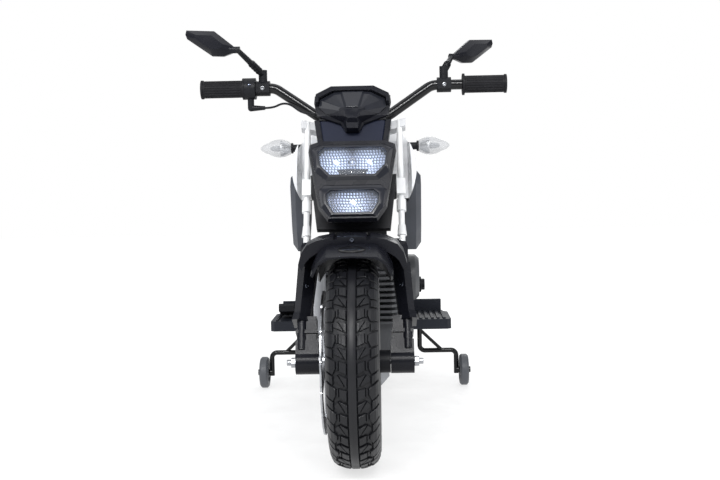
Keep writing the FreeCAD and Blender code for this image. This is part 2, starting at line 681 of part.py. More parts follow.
def instrument_cowl():
    """Cowl with a visor over a sunken face, which runs out to a nose with a tongue below it."""
    back = NECK_FRONT
    rim_outline = symmetric([(40, 63), (68, 47), (69, 33), (63.5, 8), (20.6, -9), (11.6, -25)])
    mid_outline = symmetric([(31, 44), (50, 35), (52, 27), (44, 7), (17, -8), (11, -22)])
    nose_outline = symmetric([(9, 11), (13, 6), (13, 3), (12, -5), (9, -8), (8, -9)])
    tongue_outline = symmetric([(9, -6), (11, -12), (10, -25)])
    visor_outline = symmetric([(40, 63), (68, 47), (69, 33), (66, 26)])
    visor_front = symmetric([(38, 59), (65, 44), (66, 33), (65, 28)])
    opening = symmetric([(34, 51), (60, 37), (61, 20)])
    face = loft([cowl_section(rim_outline, back), cowl_section(rim_outline, back + 5),
                 cowl_section(mid_outline, back + 8), cowl_section(nose_outline, COWL_NOSE)])
    tongue = loft([cowl_section(tongue_outline, back), cowl_section(tongue_outline, COWL_NOSE - 8)])
    visor = loft([cowl_section(visor_outline, back), cowl_section(visor_front, back + VISOR_DEPTH)])
    visor = visor.cut(loft([cowl_section(opening, back + 4), cowl_section(opening, back + VISOR_DEPTH + 1)]))
    return fuse(face, tongue, visor)


SWITCH_X = 38.0
SWITCH_WIDTH = 14.0
SWITCH_LENGTH = 22.0
SWITCH_DEPTH = 12.0
SWITCH_PIN_R = 1.5
SWITCH_TILT = 7.0
SWITCH_Y = -(NECK_FRONT + DASH_BACK) / 2
SWITCH_T = DASH_TOP - 4.0
GAUGE_R = 17.0
GAUGE_DEPTH = 3.0


def dash_panel():
    """Pod behind the cowl, with a gauge recess and two switch wells in its sloping top."""
    half = DASH_HALF_WIDTH
    outline = symmetric([(half - 12, DASH_TOP), (half, DASH_TOP - 12), (half, DASH_BOTTOM)])
    body = prism_y(outline, -NECK_FRONT, -DASH_BACK)
    tools = [rod(V(0, SWITCH_Y, DASH_TOP - GAUGE_DEPTH), V(0, SWITCH_Y, DASH_TOP + 1), GAUGE_R)]
    for x in (-SWITCH_X, SWITCH_X):
        well_x = SWITCH_WIDTH / 2 + 0.4
        well_y = SWITCH_LENGTH / 2 + 0.8
        tools.append(box(x - well_x, x + well_x, SWITCH_Y - well_y, SWITCH_Y + well_y,
                         DASH_TOP - SWITCH_DEPTH, DASH_TOP + 1))
        tools.append(rod_x(x - well_x - 3, x + well_x + 3, SWITCH_Y, SWITCH_T, SWITCH_PIN_R + RUN_CLEARANCE))
    return cut_all(body, tools)


def rocker_switch(x):
    """Rocker on a cross pin, resting on its rear edge."""
    half = SWITCH_LENGTH / 2 - 0.5
    y = SWITCH_Y
    t = SWITCH_T
    outline = [(y - half * 0.6, t - 3), (y + half * 0.6, t - 3), (y + half, t + 3), (y + half, t + 7),
               (y, t + 5), (y - half, t + 7), (y - half, t + 3)]
    cap = prism_x(outline, x - SWITCH_WIDTH / 2, x + SWITCH_WIDTH / 2)
    pin = rod_x(x - SWITCH_WIDTH / 2 - 2.5, x + SWITCH_WIDTH / 2 + 2.5, y, t, SWITCH_PIN_R)
    switch = fuse(cap, pin)
    switch.rotate(V(x, y, t), V(1, 0, 0), -SWITCH_TILT)
    return switch


# Handlebar and its controls

def handlebar():
    y = BAR_CENTRE.y
    z = BAR_CENTRE.z
    end = BAR_HALF_WIDTH - GRIP_CAP - SEAT_GAP
    right = [V(end, GRIP_Y, GRIP_Z), V(BAR_BEND_X, GRIP_Y, GRIP_Z), V(BAR_STRAIGHT, y, z)]
    left = [V(-p.x, p.y, p.z) for p in reversed(right)]
    return bent_tube(right + left, BAR_BEND_R, BAR_R)


def grip(side):
    """Ribbed rubber sleeve with an inner flange and a closed end."""
    inner = side * (BAR_HALF_WIDTH - GRIP_LENGTH)
    outer = side * BAR_HALF_WIDTH
    step = side * 4
    body = rod_x(inner, outer, GRIP_Y, GRIP_Z, GRIP_R)
    flange = rod_x(inner, inner + step, GRIP_Y, GRIP_Z, GRIP_R + 4)
    end = rod_x(outer - step, outer, GRIP_Y, GRIP_Z, GRIP_R + 1.5)
    sleeve = fuse(body, flange, end)
    tools = [rod_x(inner - step, outer - side * GRIP_CAP, GRIP_Y, GRIP_Z, BAR_R + RUN_CLEARANCE)]
    for index in range(GRIP_RIBS):
        angle = 2 * math.pi * index / GRIP_RIBS
        y = GRIP_Y + (GRIP_R + 0.6) * math.cos(angle)
        z = GRIP_Z + (GRIP_R + 0.6) * math.sin(angle)
        tools.append(rod_x(inner + step * 2, outer - step * 2, y, z, 1.6))
    return cut_all(sleeve, tools)


HOUSING_OUTER_X = BAR_HALF_WIDTH - GRIP_LENGTH - 0.3
HOUSING_INNER_X = HOUSING_OUTER_X - HOUSING_LENGTH
HOUSING_X = -(HOUSING_OUTER_X + HOUSING_INNER_X) / 2
CABLE_EXIT = V(HOUSING_X + NOZZLE_LENGTH, GRIP_Y, GRIP_Z - 36)


def throttle_housing():
    body = rod_x(-HOUSING_OUTER_X, -HOUSING_INNER_X, GRIP_Y, GRIP_Z, HOUSING_R)
    x = HOUSING_X
    stub = rod(V(x, GRIP_Y, GRIP_Z), V(x, GRIP_Y, CABLE_EXIT.z), 6)
    ball = Part.makeSphere(6, V(x, GRIP_Y, CABLE_EXIT.z))
    nozzle = Part.makeCone(6, 3.5, NOZZLE_LENGTH, V(x, GRIP_Y, CABLE_EXIT.z), V(1, 0, 0))
    housing = fuse(body, stub, ball, nozzle)
    return housing.cut(rod_x(-BAR_HALF_WIDTH, 0, GRIP_Y, GRIP_Z, BAR_R + FIT_CLEARANCE))


def throttle_cable():
    """Cable from the throttle nozzle to the side of the dash pod."""
    end = steer_point(-DASH_HALF_WIDTH, (NECK_FRONT + DASH_BACK) / 2 - 4, DASH_BOTTOM + 27)
    span = end.x - CABLE_EXIT.x
    points = [CABLE_EXIT]
    for share, back, rise in ((0.14, 0, 0), (0.31, -6, 8), (0.47, -17, 4), (0.64, -33, -11)):
        points.append(CABLE_EXIT + V(span * share, back, rise))
    points += [V(end.x - span * 0.19, end.y, end.z), end]
    radii = []
    for index in range(1, len(points) - 1):
        back = points[index - 1] - points[index]
        ahead = points[index + 1] - points[index]
        turn = math.pi - back.getAngle(ahead)
        radii.append(0.45 * min(back.Length, ahead.Length) / math.tan(turn / 2))
    tube = bent_tube(points, radii, CABLE_R)
    print("throttle cable length", round(bent_path(points, radii).Length, 1))
    return tube


def mirror_clamp(side):
    x = side * MIRROR_X
    half = CLAMP_LENGTH / 2
    ring = rod_x(x - half, x + half, GRIP_Y, GRIP_Z, CLAMP_R)
    pad = box(x - half, x + half, GRIP_Y - CLAMP_R, GRIP_Y + CLAMP_R, GRIP_Z - 8, GRIP_Z + 8)
    post = rod(V(x, GRIP_Y, GRIP_Z), V(x, GRIP_Y, GRIP_Z + CLAMP_R + 4), MIRROR_POST_R)
    pin = rod(V(x, GRIP_Y, GRIP_Z), V(x, GRIP_Y, GRIP_Z + CLAMP_R + 15), MIRROR_PIN_R)
    clamp = fuse(ring, pad, post, pin)
    return clamp.cut(rod_x(x - half - 1, x + half + 1, GRIP_Y, GRIP_Z, BAR_R + FIT_CLEARANCE))


MIRROR_BASE_Z = GRIP_Z + CLAMP_R + 4 + SEAT_GAP


def mirror_eye(side):
    """Place of the tilt pin at the end of a mirror arm."""
    swivel = math.radians(RIGHT_SWIVEL if side < 0 else LEFT_SWIVEL)
    x = side * (MIRROR_X + MIRROR_ARM_REACH * math.cos(swivel))
    y = GRIP_Y - MIRROR_ARM_REACH * math.sin(swivel)
    return V(x, y, MIRROR_BASE_Z + 8 + MIRROR_ARM_RISE)


def mirror_axis(side):
    """Outward direction of the tilt pin."""
    pan = math.radians(RIGHT_PAN if side < 0 else LEFT_PAN)
    return V(side * math.cos(pan), math.sin(pan), 0)


def mirror_arm(side):
    x = side * MIRROR_X
    eye = mirror_eye(side)
    axis = mirror_axis(side)
    hub = rod(V(x, GRIP_Y, MIRROR_BASE_Z), V(x, GRIP_Y, MIRROR_BASE_Z + 16), MIRROR_POST_R)
    start = V(x, GRIP_Y, MIRROR_BASE_Z + 8)
    reach = eye - start
    stem = Part.makeCone(6.5, 4.5, reach.Length, start, reach)
    ridges = [Part.makeCone(7.2, 6.4, 4, start + reach * (0.16 + 0.09 * k), reach) for k in range(4)]
    knuckle = rod(eye - axis * (MIRROR_EYE_LENGTH / 2), eye + axis * (MIRROR_EYE_LENGTH / 2), MIRROR_EYE_R)
    arm = fuse(hub, stem, knuckle, *ridges)
    pin_hole = rod(V(x, GRIP_Y, MIRROR_BASE_Z - 1), V(x, GRIP_Y, MIRROR_BASE_Z + 11.5),
                   MIRROR_PIN_R + RUN_CLEARANCE)
    tilt_hole = rod(eye - axis * MIRROR_EYE_LENGTH, eye + axis * MIRROR_EYE_LENGTH,
                    MIRROR_TILT_PIN_R + RUN_CLEARANCE)
    return arm.cut(pin_hole).cut(tilt_hole)


# Mirror head outline, outwards from its inner end and up from the pin
MIRROR_FACE = [(0, 5), (36, 34), (86, 36.5), (88, 29), (85, 21), (41, -10), (20, -11), (3, -5)]


def mirror_place(shape, side):
    """Move a head modelled outwards along X from the pin onto its arm."""
    placed = mirror_x(shape) if side < 0 else shape.copy()
    axis = mirror_axis(side)
    angle = math.degrees(math.atan2(axis.y, side * axis.x)) * side
    placed.rotate(V(0, 0, 0), V(0, 0, 1), angle)
    placed.translate(mirror_eye(side))
    return placed


def mirror_housing(side):
    start = MIRROR_EYE_LENGTH / 2 + SEAT_GAP
    rear = MIRROR_DEPTH * 0.35
    front = rear - MIRROR_DEPTH
    rim_line = [V(start + u, rear, w) for u, w in MIRROR_FACE]
    waist = [V(start + u, rear - MIRROR_DEPTH * 0.4, w) for u, w in MIRROR_FACE]
    centre = V(start + 44, front, 14)
    crest = [centre + (V(start + u, front, w) - centre) * 0.55 for u, w in MIRROR_FACE]
    shell = loft([rim_line, waist, crest])
    neck = rod(V(start, 0, 0), V(start + 12, 0, 0), MIRROR_EYE_R)
    pin = rod(V(-MIRROR_EYE_LENGTH / 2, 0, 0), V(start + 6, 0, 0), MIRROR_TILT_PIN_R)
    glass = mirror_glass_solid(start, rear, SEAT_GAP)
    head = fuse(shell, neck, pin)
    return mirror_place(head.cut(glass), side)


def mirror_glass_solid(start, rear, margin):
    centre = V(start + 47, rear, 14)
    outline = [centre + (V(start + u, rear, w) - centre) * (0.90 + margin / 50) for u, w in MIRROR_FACE]
    face = face_of(outline)
    face.translate(V(0, 0.5, 0))
    return face.extrude(V(0, -3.5, 0))


def mirror_glass(side):
    start = MIRROR_EYE_LENGTH / 2 + SEAT_GAP
    rear = MIRROR_DEPTH * 0.35
    plate = mirror_glass_solid(start, rear, 0)
    return mirror_place(plate.cut(box(-50, 150, rear - 0.5, rear + 20, -60, 60)), side)


# Frame, tank, seat and tail

SPINE_DIP_Y = ENGINE_REAR + 20.0
SPINE_DEPTH = 36.0


def main_frame():
    """Head tube, spine, down tube and the upright that carries the swingarm."""
    half = SPINE_HALF_WIDTH
    head = steer(rod(V(0, 0, HEAD_TUBE_BOTTOM), V(0, 0, HEAD_TUBE_TOP), HEAD_TUBE_R))
    spine = prism_x([(HEAD.y + 4, SPINE_TOP + 26), (HEAD.y + 55, SPINE_TOP), (ENGINE_REAR - 50, SPINE_TOP),
                     (SPINE_DIP_Y, SEAT_LEVEL), (SPINE_END, SEAT_LEVEL + 16), (SPINE_END, SEAT_LEVEL - 12),
                     (SPINE_DIP_Y, SEAT_LEVEL - SPINE_DEPTH), (HEAD.y + 40, SPINE_TOP - SPINE_DEPTH - 4),
                     (HEAD.y - 8, SPINE_TOP - 24)], -half, half)
    down_end = ENGINE_FRONT + 30
    down = prism_x([(HEAD.y - 12, SPINE_TOP - 20), (HEAD.y + 24, SPINE_TOP - 20), (down_end + 14, ENGINE_TOP),
                    (down_end - 14, ENGINE_TOP)], -half + 4, half - 4)
    upright = box(-half, half, ENGINE_REAR, UPRIGHT_REAR, AXLE_Z - 15, SEAT_LEVEL - 10)
    frame = fuse(head, spine, down, upright)
    bore = rod(V(0, 0, HEAD_TUBE_BOTTOM - 40), V(0, 0, HEAD_TUBE_TOP + 40), STEM_R + RUN_CLEARANCE)
    return frame.cut(steer(bore))


TANK_BACK = SEAT_FRONT - 2.0
TANK_FRONT = HEAD.y - 16.0
TANK_LENGTH = TANK_BACK - TANK_FRONT
MODULE_Y = TANK_FRONT + TANK_LENGTH * 0.54


def tank_section(y, low, middle, shoulder, heights, inset):
    """Flat-bottomed arch across the tank at one station."""
    bottom, waist, top_side, top = heights
    top_side -= inset * 0.8
    right = [V(low - inset, y, bottom), V(middle - inset, y, waist), V(shoulder - inset, y, top_side)]
    left = [V(-p.x, p.y, p.z) for p in reversed(right)]
    edges = [Part.Arc(*right), Part.Arc(right[2], V(0, y, top - inset), left[0]), Part.Arc(*left),
             Part.LineSegment(left[2], right[0])]
    return Part.Wire([edge.toShape() for edge in edges])


def tank_loft(inset, drop):
    wide = TANK_HALF_WIDTH
    front = TANK_FRONT
    length = TANK_LENGTH
    stations = [(0.0, wide - 12, wide, wide - 18, (-54, 14, 56, 64)),
                (0.26, wide - 14, wide + 1, wide - 26, (-66, 8, 68, 86)),
                (0.55, wide - 26, wide - 8, wide - 38, (-62, 6, 72, 98)),
                (0.82, wide - 46, wide - 32, wide - 54, (-40, 2, 46, 64)),
                (1.0, wide - 57, wide - 50, wide - 64, (-32, -7, 13, 23))]
    wires = []
    for share, low, middle, shoulder, rises in stations:
        heights = [SPINE_TOP + rise for rise in rises]
        heights[0] -= drop
        wires.append(tank_section(front + length * share, low, middle, shoulder, heights, inset))
    return Part.makeLoft(wires, True, False)


def tank_outer():
    return tank_loft(0, 0)


SIGNAL_Y = HEAD.y + 62.0
SIGNAL_Z = SPINE_TOP + 40.0
SIGNAL_BASE_X = TANK_HALF_WIDTH + 9.0


def fuel_tank(outer):
    """White cover with forward wings either side of the steering head."""
    hollow = tank_loft(TANK_WALL, 10)
    keep_back = steer(box(-300, 300, STEER_CLEAR_BACK + TANK_WALL, 600, 0, 900))
    hollow = hollow.common(keep_back).common(box(-300, 300, -400, TANK_BACK - TANK_WALL, 0, 900))
    turn = rod(V(0, 0, 150), V(0, 0, 620), STEER_CLEAR_R)
    turn = turn.common(box(-300, 300, -300, STEER_CLEAR_BACK, 0, 900))
    rib = box(-28, 28, MODULE_Y - 12, MODULE_Y - 6, SPINE_TOP, SPINE_TOP + 200).common(outer)
    spine_way = box(-SPINE_HALF_WIDTH - 1, SPINE_HALF_WIDTH + 1, -400, TANK_BACK + 1, 0, SPINE_TOP)
    head_way = steer(box(-SPINE_HALF_WIDTH - 1, SPINE_HALF_WIDTH + 1, -40, 90, 200, HEAD_TUBE_TOP - 2))
    tank = cut_all(outer, [hollow, steer(turn), spine_way, head_way]).fuse(rib)
    holes = [rod_x(-200, 200, SIGNAL_Y, SIGNAL_Z, SIGNAL_STEM_R + FIT_CLEARANCE)]
    cap = rod(V(0, MODULE_Y, SPINE_TOP + 80), V(0, MODULE_Y, SPINE_TOP + 103), 26)
    cap = cap.cut(tank_loft(TANK_WALL - 1, 0))
    return cut_all(tank.fuse(cap).removeSplitter(), holes)


def signal_stem(side):
    inner = TANK_HALF_WIDTH - 16
    stem = rod_x(side * inner, side * SIGNAL_BASE_X, SIGNAL_Y, SIGNAL_Z, SIGNAL_STEM_R)
    flange = rod_x(side * (SIGNAL_BASE_X - 4), side * SIGNAL_BASE_X, SIGNAL_Y, SIGNAL_Z, SIGNAL_STEM_R + 3)
    return fuse(stem, flange)


def signal_lens(side):
    """Leaf-shaped lens that ends in a small flat tip."""
    x = SIGNAL_BASE_X
    length = SIGNAL_LENS_LENGTH
    profile = [(0, 0.62), (0.34, 1.0), (0.74, 0.62), (0.9, 0.4), (1.0, 0.14)]
    points = [V(side * (x + length * share), SIGNAL_Y, SIGNAL_Z + SIGNAL_LENS_R * r) for share, r in profile]
    base = V(side * x, SIGNAL_Y, SIGNAL_Z)
    tip = V(side * (x + length), SIGNAL_Y, SIGNAL_Z)
    edges = [Part.Arc(*points[:3]), Part.Arc(*points[2:]), Part.LineSegment(points[-1], tip),
             Part.LineSegment(tip, base), Part.LineSegment(base, points[0])]
    wire = Part.Wire([edge.toShape() for edge in edges])
    return Part.Face(wire).revolve(base, V(1, 0, 0), 360)


def side_panel(tank_solid):
    """Left lower cover below the tank, faceted, with a boss onto the cylinder head."""
    y = HEAD.y
    z = SPINE_TOP
    wide = TANK_HALF_WIDTH
    root = [(y + 40, z - 30), (y + 62, z - 4), (y + 150, z - 20), (y + 210, z - 62), (y + 190, z - 100),
            (y + 122, z - 158), (y + 84, z - 158), (y + 62, z - 118)]
    crest = [(y + 52, z - 34), (y + 68, z - 16), (y + 146, z - 32), (y + 194, z - 64), (y + 178, z - 92),
             (y + 116, z - 144), (y + 92, z - 144), (y + 74, z - 110)]
    inner = wide - 18
    outer = wide + 12
    middle = wide + 2
    panel = loft([[V(inner, a, b) for a, b in root], [V(middle, a, b) for a, b in root],
                  [V(outer, a, b) for a, b in crest]])
    boss = rod_x(CYLINDER_HALF_WIDTH + 4, inner + 1, y + 100, ENGINE_TOP - 14, 8)
    slots = [prism_x([(y + 96 + 26 * k, z - 50), (y + 106 + 26 * k, z - 50), (y + 116 + 26 * k, z - 84),
                      (y + 106 + 26 * k, z - 84)], middle + 4, outer + 5) for k in range(3)]
    return cut_all(fuse(panel, boss), [tank_solid] + slots)


SEAT_BASE_TOP = SEAT_LEVEL + SEAT_BASE_HEIGHT
TAIL_FRONT = SPINE_END


def seat_base():
    """Tray under the pad that straddles the spine."""
    half = SEAT_HALF_WIDTH
    front = SEAT_FRONT
    back = TAIL_FRONT - 0.5
    plan = [(-half * 0.62, front), (half * 0.62, front), (half * 0.95, front + 120), (half * 0.9, back),
            (-half * 0.9, back), (-half * 0.95, front + 120)]
    top = [V(x, y, SEAT_BASE_TOP) for x, y in plan]
    low = [V(x * 0.72, y, SEAT_LEVEL - SEAT_BASE_HEIGHT) for x, y in plan]
    tray = loft([low, top])
    inside_top = [V(x * 0.92, y, SEAT_BASE_TOP - 12) for x, y in plan]
    inside_low = [V(x * 0.66, y, SEAT_LEVEL - SEAT_BASE_HEIGHT - 1) for x, y in plan]
    hollow = loft([inside_low, inside_top]).common(box(-200, 200, front + 4, back - 4, 0, 900))
    beam = prism_x([(ENGINE_REAR - 50, SPINE_TOP + SEAT_GAP), (SPINE_DIP_Y, SEAT_LEVEL + SEAT_GAP),
                    (SPINE_END, SEAT_LEVEL + 16 + SEAT_GAP), (SPINE_END, 0), (ENGINE_REAR - 50, 0)],
                   -SPINE_HALF_WIDTH - SEAT_GAP, SPINE_HALF_WIDTH + SEAT_GAP)
    saddle = prism_x([(SPINE_DIP_Y + 60, SEAT_LEVEL), (SPINE_DIP_Y + 60, SEAT_BASE_TOP - 6),
                      (back - 60, SEAT_BASE_TOP - 6), (back - 60, SEAT_LEVEL)], -12, 12)
    skirt = seat_skirt(0).cut(seat_skirt(SEAT_WALL))
    pieces = [piece.cut(beam) for piece in (tray.cut(hollow), skirt, saddle)]
    return pieces[0].fuse(pieces[1]).fuse(pieces[2]).removeSplitter()


def seat_skirt(inset):
    """Side covers under the seat tray, drawn in towards the frame as they go down and forward."""
    half = SEAT_HALF_WIDTH * 0.72
    front = SEAT_FRONT + inset
    back = SEAT_FRONT + SEAT_SKIRT_LENGTH - inset
    top = SEAT_LEVEL - SEAT_BASE_HEIGHT + 1 + inset
    low = SEAT_LEVEL - SEAT_BASE_HEIGHT - SEAT_SKIRT_DROP + inset
    upper = [(half * 0.62 - inset, front), (half * 0.95 - inset, front + 120), (half * 0.93 - inset, back)]
    lower = [(half * 0.5 - inset, front), (half * 0.58 - inset, front + 40),
             (half * 0.56 - inset, front + 62)]
    sections = []
    for z, right in ((low, lower), (top, upper)):
        plan = right + [(-x, y) for x, y in reversed(right)]
        sections.append([V(x, y, z) for x, y in plan])
    return loft(sections)


def seat_pad():
    """Crowned cushion with drawn-in sides, higher at the back."""
    half = SEAT_HALF_WIDTH
    front = SEAT_FRONT + 1
    back = TAIL_FRONT - 1
    length = back - front
    wires = []
    stations = [(0.0, 0.55, 0.8), (0.3, 0.86, 0.72), (0.62, 1.0, 0.86), (0.9, 0.94, 1.06), (1.0, 0.84, 0.92)]
    for share, width, height in stations:
        y = front + length * share
        w = half * width
        h = SEAT_THICKNESS * height
        base = SEAT_BASE_TOP + SEAT_GAP
        right = [V(w * 0.93, y, base), V(w, y, base + h * 0.4), V(w * 0.78, y, base + h * 0.86)]
        left = [V(-p.x, p.y, p.z) for p in reversed(right)]
        edges = [Part.Arc(*right), Part.Arc(right[2], V(0, y, base + h), left[0]), Part.Arc(*left),
                 Part.LineSegment(left[2], right[0])]
        wires.append(Part.Wire([edge.toShape() for edge in edges]))
    return Part.makeLoft(wires, True, False)


TAIL_LENS_Z = SEAT_BASE_TOP + 38.0


def tail_cover():
    half = SEAT_HALF_WIDTH * 0.92
    y = TAIL_FRONT
    back = y + TAIL_LENGTH
    z = SEAT_LEVEL
    sections = []
    stations = [(y, half, z - 22, z + 74), (y + 50, half * 0.82, z + 4, z + 88),
                (back, half * 0.5, z + 46, z + 94)]
    for place, width, low, high in stations:
        waist = low + (high - low) * 0.55
        sections.append([V(width * 0.7, place, low), V(width, place, waist), V(width * 0.6, place, high),
                         V(-width * 0.6, place, high), V(-width, place, waist), V(-width * 0.7, place, low)])
    body = loft(sections)
    return body.cut(tail_light_body(FIT_CLEARANCE))


def tail_light_body(margin):
    back = TAIL_FRONT + TAIL_LENGTH
    half = SEAT_HALF_WIDTH * 0.32 + margin
    sections = []
    for y, bevel in ((back - 8, 0), (back, 0), (back + 4, TAIL_LENS_BEVEL)):
        x = half - bevel
        rise = 10 + margin - bevel
        low = TAIL_LENS_Z - rise
        high = TAIL_LENS_Z + rise
        sections.append([V(x, y, low), V(x, y, high), V(-x, y, high), V(-x, y, low)])
    return loft(sections)


def tail_light_lens():
    return tail_light_body(0)


REAR_FENDER_R = AXLE_Z + 22.0


def rear_fender():
    """Mudguard over the rear tyre, hung from the spine by a bracket."""
    half = REAR_TYRE_WIDTH / 2 + 9
    outer = [(0, REAR_FENDER_R), (half * 0.7, REAR_FENDER_R - 3), (half, REAR_FENDER_R - 16)]
    inner = [(x - (FENDER_WALL if x else 0), r - FENDER_WALL) for x, r in outer]
    guard = ring_x(symmetric_ring(outer, inner), REAR_Y, AXLE_Z, -24, 82)
    foot = AXLE_Z + REAR_FENDER_R - 7
    bracket = prism_x([(REAR_Y - 46, foot), (REAR_Y + 26, foot), (REAR_Y + 8, foot + 30),
                       (REAR_Y + 12, SEAT_LEVEL), (REAR_Y - 34, SEAT_LEVEL), (REAR_Y - 28, foot + 30)],
                      -FENDER_STRUT_HALF, FENDER_STRUT_HALF)
    spine_line = [(REAR_Y - 60, SEAT_LEVEL + 60), (REAR_Y + 60, SEAT_LEVEL + 60)]
    slope = (SPINE_DEPTH - 12) / (SPINE_END - SPINE_DIP_Y)
    low_a = SEAT_LEVEL - 12 - slope * (SPINE_END - REAR_Y + 60)
    low_b = SEAT_LEVEL - 12 - slope * (SPINE_END - REAR_Y - 60)
    above = prism_x([spine_line[0], spine_line[1], (REAR_Y + 60, low_b), (REAR_Y - 60, low_a)], -60, 60)
    return fuse(guard, bracket.cut(above))


# Engine casing, exhaust and drive

BATTERY_FLOOR = ENGINE_BOTTOM + ENGINE_WALL
DRUM_Y = ENGINE_REAR - DRUM_AHEAD
DRUM_Z = ENGINE_BOTTOM + 152.0
COVER_Z = ENGINE_BOTTOM + 58.0
SOCKET_Y = ENGINE_REAR - 22.0
SOCKET_Z = ENGINE_BOTTOM + 102.0


def engine_y(share):
    """Place along the engine casing, from 0 at its front to 1 at its rear."""
    return ENGINE_FRONT + ENGINE_LENGTH * share


def engine_half():
    """Left half of the moulded engine casing, open towards the middle plane."""
    rear = ENGINE_REAR
    low = ENGINE_BOTTOM
    wall = ENGINE_WALL
    nose = CASE_NOSE
    case = prism_x([(nose - 7.5, low + 22), (nose - 5, low + 72), (nose + 7.5, low + 120),
                    (rear - 40, low + 128), (rear, low + 112), (rear, low + 16), (rear - 20, low),
                    (nose + 7.5, low)], 0, ENGINE_HALF_WIDTH)
    barrel = prism_x([(engine_y(0.21), low + 110), (engine_y(0.11), low + 168), (engine_y(0.09), ENGINE_TOP),
                      (engine_y(0.37), ENGINE_TOP), (engine_y(0.6), low + 176), (engine_y(0.63), low + 118)],
                     0, CYLINDER_HALF_WIDTH)
    fins = []
    for index in range(FIN_COUNT):
        z = low + FIN_BOTTOM + FIN_PITCH * index
        lean = (ENGINE_TOP - z) * 0.2
        reach = CYLINDER_HALF_WIDTH + FIN_REACH
        front = engine_y(0.016) + lean
        back = engine_y(0.4) + lean
        fins.append(prism_z([(0, front), (reach - 10, front), (reach, front + 8), (reach, back), (0, back)],
                            z, z + FIN_THICKNESS))
    head_block = box(0, CYLINDER_HALF_WIDTH + 4, engine_y(HEAD_FRONT), engine_y(0.384), ENGINE_TOP - 26,
                     ENGINE_TOP)
    drum = rod_x(0, DRUM_HALF_WIDTH - 8, DRUM_Y, DRUM_Z, DRUM_R)
    crown = Part.makeCone(DRUM_R, DRUM_R - 8, 8, V(DRUM_HALF_WIDTH - 8, DRUM_Y, DRUM_Z), V(1, 0, 0))
    cover = rod_x(0, ENGINE_HALF_WIDTH + COVER_PROUD, engine_y(COVER_PLACE), COVER_Z, COVER_R)
    airbox = prism_x([(engine_y(0.56), low + 170), (engine_y(0.51), low + 280), (engine_y(0.6), low + 292),
                      (rear, low + 292), (rear, low + 112), (engine_y(0.84), low + 128)],
                     0, AIRBOX_HALF_WIDTH)
    shell = fuse(case, barrel, head_block, drum, crown, cover, airbox, *fins)
    bay = prism_x([(nose + 2.5, low + 24), (nose + 5, low + 70), (nose + 15, low + 112),
                   (rear - 42.5, low + 120), (rear - wall, low + 106), (rear - wall, low + 18),
                   (rear - 25, low + wall), (nose + 15, low + wall)], -1, ENGINE_HALF_WIDTH - wall)
    roof = ENGINE_TOP - 14
    bore = prism_x([(engine_y(0.25), low + 108), (engine_y(0.16), low + 170), (engine_y(0.14), roof),
                    (engine_y(0.34), roof), (engine_y(0.56), low + 172), (engine_y(0.59), low + 116)],
                   -1, CYLINDER_HALF_WIDTH - wall)
    cell = prism_x([(engine_y(0.59), low + 176), (engine_y(0.56), low + 276), (engine_y(0.62), low + 284),
                    (rear - wall, low + 284), (rear - wall, low + 122), (engine_y(0.84), low + 134)],
                   -1, AIRBOX_HALF_WIDTH - wall)
    holes = [bay, bore, cell, rod_x(-1, DRUM_HALF_WIDTH - 14, DRUM_Y, DRUM_Z, DRUM_R - wall)]
    for index in range(6):
        angle = math.radians(60 * index)
        y = DRUM_Y + 26 * math.cos(angle)
        z = DRUM_Z + 26 * math.sin(angle)
        holes.append(rod_x(DRUM_HALF_WIDTH - 5, DRUM_HALF_WIDTH + 1, y, z, 7))
    return cut_all(shell, holes)


def engine_left():
    hole = rod_x(0, ENGINE_HALF_WIDTH + 1, SOCKET_Y, SOCKET_Z, SOCKET_R + FIT_CLEARANCE)
    return engine_half().cut(hole)


def charge_socket():
    face = ENGINE_HALF_WIDTH
    body = rod_x(face - 14, face + 3, SOCKET_Y, SOCKET_Z, SOCKET_R)
    flange = rod_x(face, face + 3, SOCKET_Y, SOCKET_Z, SOCKET_FLANGE_R)
    bore = rod_x(face + 3 - SOCKET_BORE_DEPTH, face + 4, SOCKET_Y, SOCKET_Z, SOCKET_BORE_R)
    return fuse(body, flange).cut(bore)


def battery():
    front = BATTERY_FRONT
    top = BATTERY_FLOOR + BATTERY_HEIGHT
    case = box(-BATTERY_WIDTH / 2, BATTERY_WIDTH / 2, front, BATTERY_REAR, BATTERY_FLOOR, top)
    posts = [box(x - 3, x + 3, front + 8, front + 16, top - 1, top + 5) for x in (-20, 20)]
    return fuse(case, *posts)


def control_module():
    y = MODULE_Y
    return box(-MODULE_SIZE / 2, MODULE_SIZE / 2, y, y + MODULE_SIZE, SPINE_TOP, SPINE_TOP + MODULE_HEIGHT)


def exhaust():
    """Header pipe on the right side and the flat silencer under the casing."""
    top = ENGINE_BOTTOM
    front = CASE_NOSE + 10
    rear = ENGINE_REAR - 4
    half = MUFFLER_HALF_WIDTH
    floor = top - MUFFLER_HEIGHT
    outline = [(-half, top), (half, top), (half, floor + 18), (half - 16, floor), (16 - half, floor),
               (-half, floor + 18)]
    can = prism_y(outline, front, rear)
    x = -CYLINDER_HALF_WIDTH - EXHAUST_R - 3
    y = ENGINE_FRONT - EXHAUST_R - 4
    port = ENGINE_TOP - EXHAUST_R - 1
    port_x = 14 - CYLINDER_HALF_WIDTH
    pipe = bent_tube([V(port_x, engine_y(HEAD_FRONT), port), V(port_x, y, port), V(x, y, port - 44),
                      V(x, y, top + 24), V(-half + EXHAUST_R + 4, front + 4, floor + 28)],
                     [14, 30, 40], EXHAUST_R)
    tip = rod(V(-half + 20, rear - 2, floor + 26), V(-half - 4, rear + 34, floor + 30), 13)
    return fuse(can, pipe, tip)


